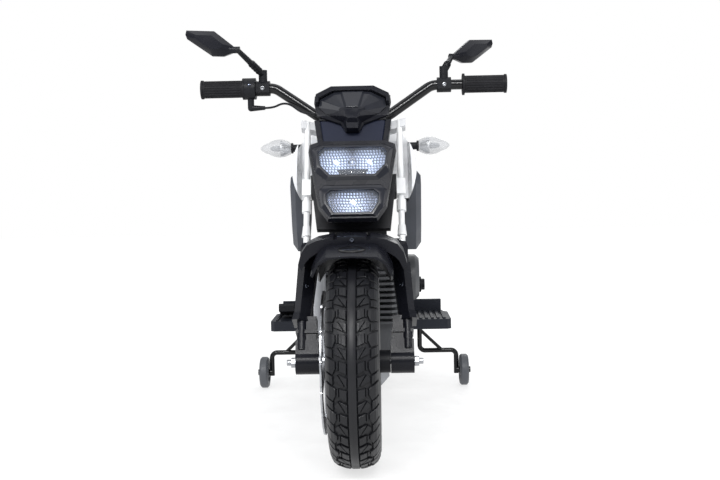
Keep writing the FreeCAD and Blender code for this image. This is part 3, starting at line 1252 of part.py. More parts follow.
def swingarm():
    """Cross-member behind the upright and two side arms with axle bosses."""
    inner = SWINGARM_INNER
    outer = inner + SWINGARM_THICKNESS
    z = AXLE_Z
    front = UPRIGHT_REAR
    cross = box(-outer, outer, front, front + 20, z - 15, z + 52)
    pieces = [cross]
    for side in (1, -1):
        arm = prism_x([(front, z - 12), (front, z + 50), (front + 80, z + 44), (REAR_Y - 30, z + 24),
                       (REAR_Y + 26, z + 18), (REAR_Y + 26, z - 18), (REAR_Y - 30, z - 22),
                       (front + 80, z - 18)], side * inner, side * outer)
        slot = prism_x([(front + 44, z + 2), (front + 44, z + 30), (front + 90, z + 28),
                        (REAR_Y - 70, z + 12), (REAR_Y - 70, z - 4)], side * (outer - 5), side * (outer + 1))
        boss = rod_x(side * inner, side * outer, REAR_Y, z, 22)
        pieces.append(fuse(arm.cut(slot), boss))
    arm = fuse(*pieces)
    return arm.cut(rod_x(-outer - 1, outer + 1, REAR_Y, z, AXLE_R + FIT_CLEARANCE))


MOTOR_Y = REAR_Y - 82.0
MOTOR_Z = AXLE_Z + 64.0


def gearbox():
    """Flat case beside the tyre, between the axle and the motor."""
    inner = GEARBOX_INNER
    outer = SWINGARM_INNER
    lower = rod_x(inner, outer, REAR_Y, AXLE_Z, 40)
    upper = rod_x(inner, outer, MOTOR_Y, MOTOR_Z, 28)
    web = prism_x([(MOTOR_Y - 18, MOTOR_Z - 22), (MOTOR_Y + 18, MOTOR_Z + 22), (REAR_Y + 26, AXLE_Z + 31),
                   (REAR_Y - 26, AXLE_Z - 31)], inner, outer)
    return fuse(lower, upper, web).cut(rod_x(inner - 1, outer + 1, REAR_Y, AXLE_Z, AXLE_R + RUN_CLEARANCE))


def drive_motor():
    start = SWINGARM_INNER
    can = rod_x(start, start + MOTOR_LENGTH - 8, MOTOR_Y, MOTOR_Z, MOTOR_R)
    end = rod_x(start + MOTOR_LENGTH - 8, start + MOTOR_LENGTH, MOTOR_Y, MOTOR_Z, MOTOR_R - 5)
    return fuse(can, end)


# Footrests, pedal and training wheels

FOOTREST_FRONT = ENGINE_REAR - 38.0


def footrest(side):
    """Tray with ribs and a heel wall, on an arm from the engine casing."""
    y = FOOTREST_FRONT
    back = y + FOOTREST_LENGTH
    low = FOOTREST_TOP - FOOTREST_HEIGHT
    inner = FOOTREST_INNER
    outer = FOOTREST_OUTER
    tray = prism_z([(inner, y), (outer - 8, y), (outer, y + 8), (outer, back - 20), (outer - 14, back),
                    (inner, back)], low, FOOTREST_TOP - 3)
    hollow = box(inner + 4, outer - 5, y + 5, back - 22, low - 1, FOOTREST_TOP - 7)
    arm = box(ENGINE_HALF_WIDTH, inner + 1, y, ENGINE_REAR - 4, low + 2, FOOTREST_TOP - 4)
    relief = rod_x(0, ENGINE_HALF_WIDTH + COVER_PROUD + 1, engine_y(COVER_PLACE), COVER_Z, COVER_R + SEAT_GAP)
    heel = box(inner, outer - 14, back - 12, back, FOOTREST_TOP - 4, FOOTREST_TOP + HEEL_WALL)
    pitch = (outer - inner - 10) / FOOTREST_RIBS
    ribs = []
    for index in range(FOOTREST_RIBS):
        start = inner + 5 + pitch * index
        ribs.append(box(start, start + pitch / 2, y + 6, back - 14, FOOTREST_TOP - 4, FOOTREST_TOP))
    pieces = [tray.cut(hollow), arm.cut(relief), heel] + ribs
    rest = fuse(*pieces)
    if side < 0:
        return mirror_x(rest)
    return rest


PEDAL_Y = FOOTREST_FRONT + 88.0
PEDAL_Z = FOOTREST_TOP + 6.0
PEDAL_EAR = 4.0


def footrest_with_pedal_ears():
    rest = footrest(-1)
    well = box(-PEDAL_OUTER - 1, -PEDAL_INNER + 1, FOOTREST_FRONT + 4, PEDAL_Y + 10, FOOTREST_TOP - 3,
               FOOTREST_TOP + 60)
    ears = []
    for x in (-PEDAL_OUTER - SEAT_GAP - PEDAL_EAR, -PEDAL_INNER + SEAT_GAP):
        post = box(x, x + PEDAL_EAR, PEDAL_Y - 6, PEDAL_Y + 6, FOOTREST_TOP - 4, PEDAL_Z)
        ears.append(post.fuse(rod_x(x, x + PEDAL_EAR, PEDAL_Y, PEDAL_Z, 6)))
    rest = fuse(rest.cut(well), *ears)
    bore = rod_x(-PEDAL_OUTER - 20, -PEDAL_INNER + 20, PEDAL_Y, PEDAL_Z, PEDAL_PIN_R + RUN_CLEARANCE)
    return rest.cut(bore)


def foot_pedal():
    """Wedge that hinges at its heel end, with a ribbed top and a front skirt."""
    y = PEDAL_Y
    z = PEDAL_Z
    front = y - PEDAL_LENGTH
    outline = [(y + 4, z - 4), (y + 5, z + 5), (front + 6, z + 26), (front, z + 22), (front, z + 10),
               (front + 8, z + 8), (y - 8, z - 5)]
    wedge = prism_x(outline, -PEDAL_OUTER, -PEDAL_INNER)
    reach = SEAT_GAP + PEDAL_EAR
    pin = rod_x(-PEDAL_OUTER - reach, -PEDAL_INNER + reach, y, z, PEDAL_PIN_R)
    pedal = fuse(wedge, pin)
    grooves = []
    for index in range(5):
        slide = 12 + 10 * index
        edge = y + 5 - slide
        rise = 5 + 21 * (slide / (PEDAL_LENGTH - 1))
        grooves.append(box(-PEDAL_OUTER - 1, -PEDAL_INNER + 1, edge - 3, edge, z + rise - 2.5, z + rise + 6))
    return cut_all(pedal, grooves)


BRACKET_WHEEL_X = TRAINING_TRACK / 2
BRACKET_LEG_X = BRACKET_WHEEL_X - TRAINING_WHEEL_WIDTH / 2 - BRACKET_TUBE_R - 2.0
BRACKET_TOP = AXLE_Z - 3.0


def training_bracket():
    """Left bent tube with its plate on the swingarm, a brace and the wheel bolt."""
    y = TRAINING_Y
    plate_x = SWINGARM_INNER + SWINGARM_THICKNESS
    plate = box(plate_x, plate_x + BRACKET_PLATE, y - 26, y + 26, BRACKET_TOP - 14, BRACKET_TOP + 14)
    post_x = BRACKET_POST_X
    tube = bent_tube([V(plate_x + 1, y, BRACKET_TOP), V(post_x, y, BRACKET_TOP), V(post_x, y, BRACKET_LEVEL),
                      V(BRACKET_LEG_X, y, BRACKET_LEVEL), V(BRACKET_LEG_X, y, TRAINING_WHEEL_R - 8)],
                     12, BRACKET_TUBE_R)
    brace = rod(V(post_x, y, BRACKET_LEVEL + 50), V(post_x + 52, y, BRACKET_LEVEL), BRACKET_TUBE_R * 0.7)
    bolt_end = BRACKET_WHEEL_X + TRAINING_WHEEL_WIDTH / 2 + 0.3
    bolt = rod_x(BRACKET_LEG_X, bolt_end + 5, y, TRAINING_WHEEL_R, TRAINING_BOLT_R)
    head = rod_x(bolt_end, bolt_end + 5, y, TRAINING_WHEEL_R, 7)
    collar = rod_x(BRACKET_LEG_X, BRACKET_WHEEL_X - TRAINING_WHEEL_WIDTH / 2 - 0.3, y, TRAINING_WHEEL_R, 7)
    return fuse(plate, tube, brace, bolt, head, collar)


def training_wheel(side):
    half = TRAINING_WHEEL_WIDTH / 2
    radius = TRAINING_WHEEL_R
    bore = TRAINING_BOLT_R + RUN_CLEARANCE
    outline = [(-half, bore), (-half, 12), (-half + 5, 15), (-half + 5, radius - 12), (-half, radius - 9),
               (-half, radius - 4), (-half + 4, radius), (half - 4, radius), (half, radius - 4),
               (half, radius - 9), (half - 5, radius - 12), (half - 5, 15), (half, 12), (half, bore)]
    x = side * BRACKET_WHEEL_X
    return ring_x([(x + dx, r) for dx, r in outline], TRAINING_Y, radius, 0, 360)


# Assembly

def build():
    leg_left = steer(fork_leg())
    leg_right = mirror_x(leg_left)
    tank_solid = tank_outer()
    panel_left = side_panel(tank_solid)
    bracket_left = training_bracket()
    engine_right = mirror_x(engine_half())
    hub = FRONT_HUB_END
    rear_hub = SWINGARM_INNER - 0.5
    nodes = {
        "main_frame": main_frame(),
        "engine_left": engine_left(),
        "engine_right": engine_right,
        "exhaust": exhaust(),
        "fuel_tank": fuel_tank(tank_solid),
        "side_panel_left": panel_left,
        "side_panel_right": mirror_x(panel_left),
        "seat_base": seat_base(),
        "seat_pad": seat_pad(),
        "tail_cover": tail_cover(),
        "tail_light_lens": tail_light_lens(),
        "rear_fender": rear_fender(),
        "turn_signal_stems": Part.makeCompound([signal_stem(1), signal_stem(-1)]),
        "turn_signal_lenses": Part.makeCompound([signal_lens(1), signal_lens(-1)]),
        "swingarm": swingarm(),
        "rear_axle": axle_with_nuts(REAR_Y, SWINGARM_INNER + SWINGARM_THICKNESS),
        "gearbox": gearbox(),
        "drive_motor": drive_motor(),
        "battery": battery(),
        "control_module": control_module(),
        "footrest_left": footrest(1),
        "footrest_right": footrest_with_pedal_ears(),
        "training_bracket_left": bracket_left,
        "training_bracket_right": mirror_x(bracket_left),
        "charge_socket": charge_socket(),
        "lower_yoke": steer(lower_yoke()),
        "upper_yoke": steer(upper_yoke()),
        "fork_tubes": steer(Part.makeCompound([fork_tube(1), fork_tube(-1)])),
        "handlebar": handlebar(),
        "left_grip": grip(1),
        "throttle_housing": throttle_housing(),
        "mirror_clamps": Part.makeCompound([mirror_clamp(1), mirror_clamp(-1)]),
        "headlight_nacelle": steer(headlight_nacelle()),
        "headlight_bezels": steer(Part.makeCompound([headlight_bezel(UPPER_BEZEL, UPPER_LENS),
                                                     headlight_bezel(LOWER_BEZEL, LOWER_LENS)])),
        "headlight_lenses": steer(Part.makeCompound([headlight_lens(UPPER_LENS),
                                                     headlight_lens(LOWER_LENS)])),
        "headlight_reflectors": steer(Part.makeCompound([
            headlight_reflector(UPPER_BEZEL, [(-29, 1, UPPER_BOWL_R), (29, 1, UPPER_BOWL_R)]),
            headlight_reflector(LOWER_BEZEL, [(0, below(72), LOWER_BOWL_R)])])),
        "instrument_cowl": steer(instrument_cowl()),
        "dash_panel": steer(dash_panel()),
        "throttle_cable": throttle_cable(),
        "fork_leg_left": leg_left,
        "fork_leg_right": leg_right,
        "front_fender": front_fender([leg_left, leg_right]),
        "front_axle": axle_with_nuts(FRONT_Y, FORK_FOOT_OUTER),
        "front_tyre": tyre(FRONT_Y, FRONT_TYRE_WIDTH),
        "front_rim": rim(FRONT_Y, FRONT_TYRE_WIDTH, -DISC_INNER_X, hub),
        "brake_disc": brake_disc(),
        "rear_tyre": tyre(REAR_Y, REAR_TYRE_WIDTH),
        "rear_rim": rim(REAR_Y, REAR_TYRE_WIDTH, -rear_hub, GEARBOX_INNER - 0.5),
        "training_wheel_left": training_wheel(1),
        "training_wheel_right": training_wheel(-1),
        "mirror_arm_left": mirror_arm(1),
        "mirror_arm_right": mirror_arm(-1),
        "mirror_housing_left": mirror_housing(1),
        "mirror_housing_right": mirror_housing(-1),
        "mirror_glass_left": mirror_glass(1),
        "mirror_glass_right": mirror_glass(-1),
        "throttle_grip": grip(-1),
        "foot_pedal": foot_pedal(),
        "power_switch": steer(rocker_switch(SWITCH_X)),
        "direction_switch": steer(rocker_switch(-SWITCH_X)),
    }
    return nodes


def main():
    os.makedirs("parts", exist_ok=True)
    for name, shape in build().items():
        shape.exportStep("parts/" + name + ".step")
        print(name, len(shape.Solids), round(shape.Volume), shape.isValid())


main()
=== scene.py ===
import math

import bpy
import bmesh
from mathutils import Matrix, Vector
from mathutils.bvhtree import BVHTree


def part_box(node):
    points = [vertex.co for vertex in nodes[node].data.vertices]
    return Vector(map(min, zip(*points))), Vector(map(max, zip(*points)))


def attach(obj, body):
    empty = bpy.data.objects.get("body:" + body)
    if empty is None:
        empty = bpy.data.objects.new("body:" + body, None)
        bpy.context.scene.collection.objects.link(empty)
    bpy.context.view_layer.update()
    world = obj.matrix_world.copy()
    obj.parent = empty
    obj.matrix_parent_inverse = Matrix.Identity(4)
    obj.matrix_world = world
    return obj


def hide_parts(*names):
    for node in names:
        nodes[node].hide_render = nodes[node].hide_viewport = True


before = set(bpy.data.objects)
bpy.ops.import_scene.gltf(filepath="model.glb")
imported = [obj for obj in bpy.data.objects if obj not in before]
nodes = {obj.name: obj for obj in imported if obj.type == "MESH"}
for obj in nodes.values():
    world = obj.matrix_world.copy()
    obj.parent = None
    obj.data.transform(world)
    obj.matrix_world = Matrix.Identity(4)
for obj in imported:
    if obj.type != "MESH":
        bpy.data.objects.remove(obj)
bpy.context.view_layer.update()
scene = bpy.context.scene

# Wheels and steering frame, repeated from the part's source in metres
FRONT_Y = -0.365
REAR_Y = 0.365
AXLE_Z = 0.175
FORK_OFFSET = 0.030
RAKE = math.radians(24)
STEER_BASE = Vector((0, FRONT_Y + FORK_OFFSET * math.cos(RAKE), AXLE_Z - FORK_OFFSET * math.sin(RAKE)))


def steer_point(x, forward, along):
    """Point from the distances across, in front of and along the steering axis."""
    y = STEER_BASE.y - forward * math.cos(RAKE) + along * math.sin(RAKE)
    z = STEER_BASE.z + forward * math.sin(RAKE) + along * math.cos(RAKE)
    return Vector((x, y, z))


# Camera at the photograph's angle
CAMERA_PLACE = Vector((0.0520, -2.0249, 0.4685))
CAMERA_YAW = 0.0240
CAMERA_PITCH = -0.0539
CAMERA_ROLL = -0.0196
FOCAL_LENGTH = 50
SENSOR_WIDTH = 36


def add_camera(place, yaw, pitch, roll):
    right = Vector((math.cos(yaw), math.sin(yaw), 0))
    level = Vector((-math.sin(yaw), math.cos(yaw), 0))
    forward = math.cos(pitch) * level + math.sin(pitch) * Vector((0, 0, 1))
    up = right.cross(forward)
    turned_right = math.cos(roll) * right + math.sin(roll) * up
    turned_up = math.cos(roll) * up - math.sin(roll) * right
    axes = Matrix((turned_right, turned_up, -forward)).transposed().to_4x4()
    data = bpy.data.cameras.new("camera")
    data.lens = FOCAL_LENGTH
    data.sensor_width = SENSOR_WIDTH
    data.clip_end = 50
    camera = bpy.data.objects.new("camera", data)
    camera.matrix_world = Matrix.Translation(place) @ axes
    scene.collection.objects.link(camera)
    scene.camera = camera


add_camera(CAMERA_PLACE, CAMERA_YAW, CAMERA_PITCH, CAMERA_ROLL)


# Lights and backdrop
BACKDROP_STRENGTH = 1.0
FILL_COLOUR = (0.94, 0.97, 1, 1)
FILL_STRENGTH = 0.42


def add_light(name, place, target, size, power):
    data = bpy.data.lights.new(name, "AREA")
    data.shape = "RECTANGLE"
    data.size = size[0]
    data.size_y = size[1]
    data.energy = power
    light = bpy.data.objects.new(name, data)
    light.location = place
    light.rotation_euler = (Vector(target) - Vector(place)).to_track_quat("-Z", "Y").to_euler()
    scene.collection.objects.link(light)


add_light("front_softbox", (-0.3, -3.0, 2.3), (0, -0.2, 0.4), (2.4, 1.4), 58)
add_light("key_softbox", (-2.0, -1.4, 1.9), (0, -0.1, 0.4), (1.2, 1.6), 17)
add_light("fill_softbox", (2.2, -1.2, 1.6), (0, -0.1, 0.4), (1.2, 1.6), 14)
add_light("top_softbox", (0, 0.3, 2.6), (0, 0, 0.3), (2.0, 2.0), 14)
add_light("back_softbox", (0.6, 2.4, 1.7), (0, 0.2, 0.4), (1.6, 1.2), 17)
add_light("bar_strip", (0, -2.2, 2.0), (0, -0.15, 0.6), (2.4, 0.05), 34)


def add_world():
    """White to the eye, and dimmer as a light so that black plastic keeps its depth."""
    world = bpy.data.worlds.new("studio")
    scene.world = world
    world.use_nodes = True
    tree = world.node_tree
    seen = tree.nodes["Background"]
    seen.inputs["Color"].default_value = (1, 1, 1, 1)
    seen.inputs["Strength"].default_value = BACKDROP_STRENGTH
    fill = tree.nodes.new("ShaderNodeBackground")
    fill.inputs["Color"].default_value = FILL_COLOUR
    fill.inputs["Strength"].default_value = FILL_STRENGTH
    rays = tree.nodes.new("ShaderNodeLightPath")
    mix = tree.nodes.new("ShaderNodeMixShader")
    tree.links.new(rays.outputs["Is Camera Ray"], mix.inputs["Fac"])
    tree.links.new(fill.outputs["Background"], mix.inputs[1])
    tree.links.new(seen.outputs["Background"], mix.inputs[2])
    tree.links.new(mix.outputs["Shader"], tree.nodes["World Output"].inputs["Surface"])
    scene.view_settings.view_transform = "Standard"


add_world()


# Materials
class Shader:
    """A Principled material with the nodes that this scene needs."""

    def __init__(self, name, colour, roughness, metallic=0.0, **sockets):
        self.material = bpy.data.materials.new(name)
        self.material.use_nodes = True
        self.tree = self.material.node_tree
        self.bsdf = self.tree.nodes["Principled BSDF"]
        self.set("Base Color", (*colour, 1))
        self.set("Roughness", roughness)
        self.set("Metallic", metallic)
        for socket, value in sockets.items():
            self.set(socket.replace("_", " ").title(), value)
        self.place = self.tree.nodes.new("ShaderNodeTexCoord").outputs["Object"]
        self.height = None

    def set(self, socket, value):
        self.bsdf.inputs[socket].default_value = value

    def link(self, source, target):
        self.tree.links.new(source, target)

    def noise(self, scale, detail=3.0, stretch=None):
        node = self.tree.nodes.new("ShaderNodeTexNoise")
        node.inputs["Scale"].default_value = scale
        node.inputs["Detail"].default_value = detail
        source = self.place
        if stretch:
            mapping = self.tree.nodes.new("ShaderNodeMapping")
            mapping.inputs["Scale"].default_value = stretch
            self.link(source, mapping.inputs["Vector"])
            source = mapping.outputs["Vector"]
        self.link(source, node.inputs["Vector"])
        return node.outputs["Fac"]

    def spread(self, source, low, high, begin=0.3, end=0.7):
        """Map a value between begin and end onto low to high."""
        node = self.tree.nodes.new("ShaderNodeMapRange")
        node.inputs["From Min"].default_value = begin
        node.inputs["From Max"].default_value = end
        node.inputs["To Min"].default_value = low
        node.inputs["To Max"].default_value = high
        self.link(source, node.inputs["Value"])
        return node.outputs["Result"]

    def vary_roughness(self, source, low, high):
        self.link(self.spread(source, low, high), self.bsdf.inputs["Roughness"])

    def vary_colour(self, source, low, high):
        ramp = self.tree.nodes.new("ShaderNodeValToRGB")
        ramp.color_ramp.elements[0].position = 0.3
        ramp.color_ramp.elements[1].position = 0.7
        ramp.color_ramp.elements[0].color = (*low, 1)
        ramp.color_ramp.elements[1].color = (*high, 1)
        self.link(source, ramp.inputs["Fac"])
        self.link(ramp.outputs["Color"], self.bsdf.inputs["Base Color"])

    def away_from(self, places):
        """Distance to the nearest of some places."""
        nearest = None
        for place in places:
            node = self.tree.nodes.new("ShaderNodeVectorMath")
            node.operation = "DISTANCE"
            node.inputs[1].default_value = place
            self.link(self.place, node.inputs[0])
            distance = node.outputs["Value"]
            if nearest:
                least = self.tree.nodes.new("ShaderNodeMath")
                least.operation = "MINIMUM"
                self.link(nearest, least.inputs[0])
                self.link(distance, least.inputs[1])
                distance = least.outputs["Value"]
            nearest = distance
        return nearest

    def bump(self, source, depth, strength):
        """Lay relief over any that is there already."""
        node = self.tree.nodes.new("ShaderNodeBump")
        node.inputs["Strength"].default_value = strength
        node.inputs["Distance"].default_value = depth
        self.link(source, node.inputs["Height"])
        if self.height:
            self.link(self.height, node.inputs["Normal"])
        self.height = node.outputs["Normal"]
        self.link(self.height, self.bsdf.inputs["Normal"])


def shade(colour, factor):
    return tuple(channel * factor for channel in colour)


def moulded(name, colour, rough, grain=0.00012, scale=900, gloss=0.0, shine=0.5):
    """Moulded or painted surface with a fine grain and slightly uneven colour."""
    shader = Shader(name, colour, rough, coat_weight=gloss, coat_roughness=0.12)
    shader.set("Specular IOR Level", shine)
    shader.vary_colour(shader.noise(14), shade(colour, 0.88), shade(colour, 1.12))
    shader.vary_roughness(shader.noise(40), rough * 0.85, rough * 1.15)
    shader.bump(shader.noise(scale, 2), grain, 0.35)
    return shader


def metal(name, colour, rough, stretch=(1, 1, 1), depth=0.00005):
    """Metal with a brushed grain, drawn out by a stretch."""
    shader = Shader(name, colour, rough, 1.0)
    shader.vary_colour(shader.noise(30), shade(colour, 0.9), shade(colour, 1.06))
    grain = shader.noise(700, 2, stretch)
    shader.vary_roughness(grain, rough * 0.75, rough * 1.25)
    shader.bump(grain, depth, 0.3)
    return shader


def clear_plastic(name, colour, rough, flutes, cover):
    """Clear moulding with upright flutes, which covers only a part of what lies behind it."""
    shader = Shader(name, colour, rough, alpha=cover)
    shader.vary_roughness(shader.noise(60), rough * 0.6, rough * 1.4)
    wave = shader.tree.nodes.new("ShaderNodeTexWave")
    wave.inputs["Scale"].default_value = flutes
    shader.link(shader.place, wave.inputs["Vector"])
    shader.bump(wave.outputs["Fac"], 0.0004, 0.25)
    return shader


LED_FORWARD = 0.104
LED_SPOTS = [(-0.029, 0.332), (0.029, 0.332), (0, 0.257)]
LED_PLACES = [steer_point(x, LED_FORWARD, along) for x, along in LED_SPOTS]
LED_LIGHT = (0.62, 0.74, 1.0, 1)
LIT_METAL = (0.20, 0.23, 0.33)
# Facet sides turned this way get a painted glint
LIT_SIDE = (0.72, 0.0, 0.69)


def chrome_with_painted_light(name, strength, reach):
    """Chrome with painted light: emission strongest near the lamps as a painted glow, and stronger on the
    sides of facets turned one way as a painted glint.
    """
    shader = metal(name, LIT_METAL, 0.16)
    shader.set("Emission Color", LED_LIGHT)
    # Painted glow: emission that falls off with distance from the lamps
    glow = shader.spread(shader.away_from(LED_PLACES), strength, 0.06, 0.003, reach)
    slope = shader.tree.nodes.new("ShaderNodeVectorMath")
    slope.operation = "DOT_PRODUCT"
    slope.inputs[1].default_value = LIT_SIDE
    shader.link(shader.tree.nodes["Texture Coordinate"].outputs["Normal"], slope.inputs[0])
    # Painted glint: more emission on facet sides that face LIT_SIDE
    painted_glint = shader.spread(slope.outputs["Value"], 0.08, 1.0, -0.25, 0.45)
    product = shader.tree.nodes.new("ShaderNodeMath")
    product.operation = "MULTIPLY"
    shader.link(glow, product.inputs[0])
    shader.link(painted_glint, product.inputs[1])
    shader.link(product.outputs["Value"], shader.bsdf.inputs["Emission Strength"])
    return shader


white_gloss = moulded("white_gloss_plastic", (0.74, 0.75, 0.77), 0.26, 0.00005, 260, 0.4).material
black_gloss = moulded("black_gloss_plastic", (0.0075, 0.008, 0.0115), 0.28, 0.00008, 700, 0.0, 0.16).material
black_satin = moulded("black_satin_plastic", (0.0085, 0.009, 0.0115), 0.44, 0.00014, 1100, 0.0, 0.18).material
# Glossier black plastic, also made lighter than the other blacks as a painted highlight on the bezels and the
# cowl shield
bezel_painted_highlight_satin = moulded("bezel_satin_plastic", (0.013, 0.014, 0.019), 0.20, 0.00006, 900, 0.0, 0.32).material
panel_blue = moulded("blue_black_plastic", (0.010, 0.013, 0.028), 0.40, 0.0001, 900, 0.0, 0.12).material
engine_grey = moulded("engine_grey_plastic", (0.070, 0.073, 0.079), 0.42, 0.00016, 900).material
grey_satin = moulded("grey_satin_plastic", (0.045, 0.050, 0.062), 0.46, 0.00014, 1100).material
foot_satin = moulded("foot_satin_plastic", (0.017, 0.019, 0.026), 0.40, 0.00014, 1100, 0.0, 0.16).material
wheel_grey = moulded("wheel_grey_plastic", (0.075, 0.080, 0.090), 0.50, 0.00014, 1100).material
silver_plastic = moulded("silver_plastic", (0.34, 0.35, 0.37), 0.34, 0.00005, 600).material
rubber = moulded("tread_rubber", (0.0075, 0.0078, 0.0098), 0.40, 0.0003, 700, 0.0, 0.30).material
grip_rubber = moulded("grip_rubber", (0.010, 0.010, 0.012), 0.56, 0.0002, 1400, 0.0, 0.15).material
black_paint = moulded("black_gloss_paint", (0.004, 0.004, 0.005), 0.06, 0.000004, 200, 0.0, 0.3).material
white_paint = moulded("white_gloss_paint", (0.76, 0.77, 0.78), 0.24, 0.00004, 200, 0.5).material
zinc = metal("zinc_plate", (0.36, 0.37, 0.39), 0.30).material
brushed_steel = metal("brushed_steel", (0.44, 0.45, 0.47), 0.28, (1, 6, 6)).material
dark_chrome = metal("dark_chrome", (0.10, 0.11, 0.14), 0.20).material
grey_chrome = metal("satin_chrome", (0.62, 0.63, 0.65), 0.24).material
# The chrome facets glow with painted light; only the diodes are lamps
painted_glow_chrome = chrome_with_painted_light("painted_glow_chrome", 2.3, 0.034).material
lamp_glow = chrome_with_painted_light("lamp_glow", 5.0, 0.030).material
clear = clear_plastic("clear_lens_plastic", (0.42, 0.46, 0.54), 0.05, 160, 0.10).material
signal_clear = clear_plastic("signal_lens_plastic", (0.52, 0.53, 0.55), 0.07, 220, 0.42).material
red_clear = clear_plastic("red_lens_plastic", (0.42, 0.010, 0.010), 0.10, 120, 0.82).material
mirror_silver = metal("mirror_silver", (0.84, 0.86, 0.88), 0.03, (1, 1, 1), 0.000005).material
leather = moulded("black_leather_cloth", (0.012, 0.012, 0.014), 0.46, 0.0003, 520).material
dial_white = moulded("dial_white", (0.70, 0.71, 0.72), 0.40).material
needle_red = moulded("needle_red", (0.50, 0.03, 0.02), 0.40).material

FINISH = {
    white_gloss: ["fuel_tank", "tail_cover", "upper_yoke"],
    black_gloss: ["headlight_nacelle", "instrument_cowl", "front_fender", "rear_fender",
                  "mirror_housing_left", "mirror_housing_right", "fork_leg_left", "fork_leg_right"],
    bezel_painted_highlight_satin: ["headlight_bezels"],
    black_satin: ["seat_base", "turn_signal_stems", "gearbox", "drive_motor", "battery", "control_module",
                  "charge_socket", "lower_yoke", "throttle_housing", "mirror_clamps", "dash_panel",
                  "front_rim", "rear_rim", "mirror_arm_left", "mirror_arm_right", "foot_pedal",
                  "power_switch", "direction_switch"],
    engine_grey: ["engine_left", "engine_right"],
    grey_satin: ["side_panel_left", "side_panel_right"],
    foot_satin: ["footrest_left", "footrest_right"],
    wheel_grey: ["training_wheel_left", "training_wheel_right"],
    grip_rubber: ["left_grip", "throttle_grip"],
    black_paint: ["main_frame", "swingarm", "handlebar", "training_bracket_left", "training_bracket_right"],
    white_paint: ["fork_tubes"],
    zinc: ["rear_axle", "front_axle"],
    brushed_steel: ["brake_disc"],
    silver_plastic: ["exhaust"],
    clear: ["headlight_lenses"],
    signal_clear: ["turn_signal_lenses"],
    red_clear: ["tail_light_lens"],
    mirror_silver: ["mirror_glass_left", "mirror_glass_right"],
}


CAD_EDGE = 0.0009
CAD_EDGE_ANGLE = 35


def round_edges(piece, width, degrees):
    """Round the edges that are sharper than an angle."""
    round_off = piece.modifiers.new("round_off", "BEVEL")
    round_off.width = width
    round_off.segments = 2
    round_off.limit_method = "ANGLE"
    round_off.angle_limit = math.radians(degrees)


def dress(name, material):
    """Give a CAD node its material, and soften its edges by modifiers."""
    node = nodes[name]
    node.data.materials.clear()
    node.data.materials.append(material)
    weld = node.modifiers.new("weld", "WELD")
    weld.merge_threshold = 0.00001
    flatten = node.modifiers.new("flatten", "DECIMATE")
    flatten.decimate_type = "DISSOLVE"
    flatten.angle_limit = math.radians(0.6)
    round_edges(node, CAD_EDGE, CAD_EDGE_ANGLE)
    normals = node.modifiers.new("normals", "WEIGHTED_NORMAL")
    normals.keep_sharp = False


for material, names in FINISH.items():
    for name in names:
        dress(name, material)


# Helpers for the modelled pieces
STEER_PLACE = Matrix.Translation(STEER_BASE) @ Matrix.Rotation(-RAKE, 4, "X")


def finish_piece(name, bm, material, body, slot, *stands_for):
    """Make an object of a mesh, and set its material and body; slot is not used."""
    bmesh.ops.recalc_face_normals(bm, faces=bm.faces)
    mesh = bpy.data.meshes.new(name)
    bm.to_mesh(mesh)
    bm.free()
    mesh.materials.append(material)
    piece = bpy.data.objects.new(name, mesh)
    scene.collection.objects.link(piece)
    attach(piece, body)
    if stands_for:
        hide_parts(*stands_for)
    return piece


def bridge_rings(bm, rings, closed=True):
    """Quads between neighbouring rings of vertices."""
    faces = []
    for first, second in zip(rings, rings[1:]):
        count = len(first)
        for index in range(count if closed else count - 1):
            after = (index + 1) % count
            faces.append(bm.faces.new((first[index], first[after], second[after], second[index])))
    return faces


def close_rings(bm, rings):
    """Quads between neighbouring rings, with a face over each end."""
    bridge_rings(bm, rings)
    bm.faces.new(rings[0])
    bm.faces.new(rings[-1])


def lathe(bm, profile, segments, place):
    """Turn a profile of (radius, height) about Z, close its ends and move it to a place."""
    rings = []
    for radius, height in profile:
        ring = []
        for index in range(segments):
            angle = 2 * math.pi * index / segments
            spot = Vector((radius * math.cos(angle), radius * math.sin(angle), height))
            ring.append(bm.verts.new(place @ spot))
        rings.append(ring)
    close_rings(bm, rings)


def facing(place, direction):
    """Matrix that puts Z along a direction at a place."""
    return Matrix.Translation(place) @ direction.to_track_quat("Z", "Y").to_matrix().to_4x4()


# Tyres: a moulded carcass with tread blocks raised on it
TYRE_R = 0.175
PITCHES = 26
RINGS_PER_PITCH = 4
BLOCK_DEPTH = 0.0034
BLOCK_FOOT = 0.0008
BLOCK_CHAMFER = 0.0007
BLOCK_DRAFT = 0.0006
LOW_BLOCK = 1
LOW_BLOCK_SINK = 0.001
# Section over the block tops: share of the half width and drop below the crown
SECTION = [(0, 0), (0.26, 0.0001), (0.55, 0.0031), (0.73, 0.0068), (0.857, 0.0112), (0.95, 0.0185),
           (1, 0.027), (1, 0.037)]
# Sidewall below it: distance in from the widest place and radius
SIDEWALL = [(0.003, 0.128), (0.009, 0.1215), (0.014, 0.11815)]
# Rings of the carcass: distance across the tread, then share of the sidewall, each with a height
SHOULDER_REACH = 0.057
TREAD_STEPS = [(0.0, 0), (0.0058, 0), (0.0066, -0.0007), (0.0070, -0.0034), (0.014, -0.0034),
               (0.022, -0.0034), (0.030, -0.0034), (0.037, -0.0034), (0.044, -0.0032), (0.049, -0.0024),
               (0.053, -0.0008)]
WALL_STEPS = [(0, 0), (0.16, 0), (0.19, -0.0007), (0.24, -0.0007), (0.27, 0), (0.5, 0), (0.53, -0.0007),
              (0.58, -0.0007), (0.61, 0), (0.8, 0), (1, 0)]
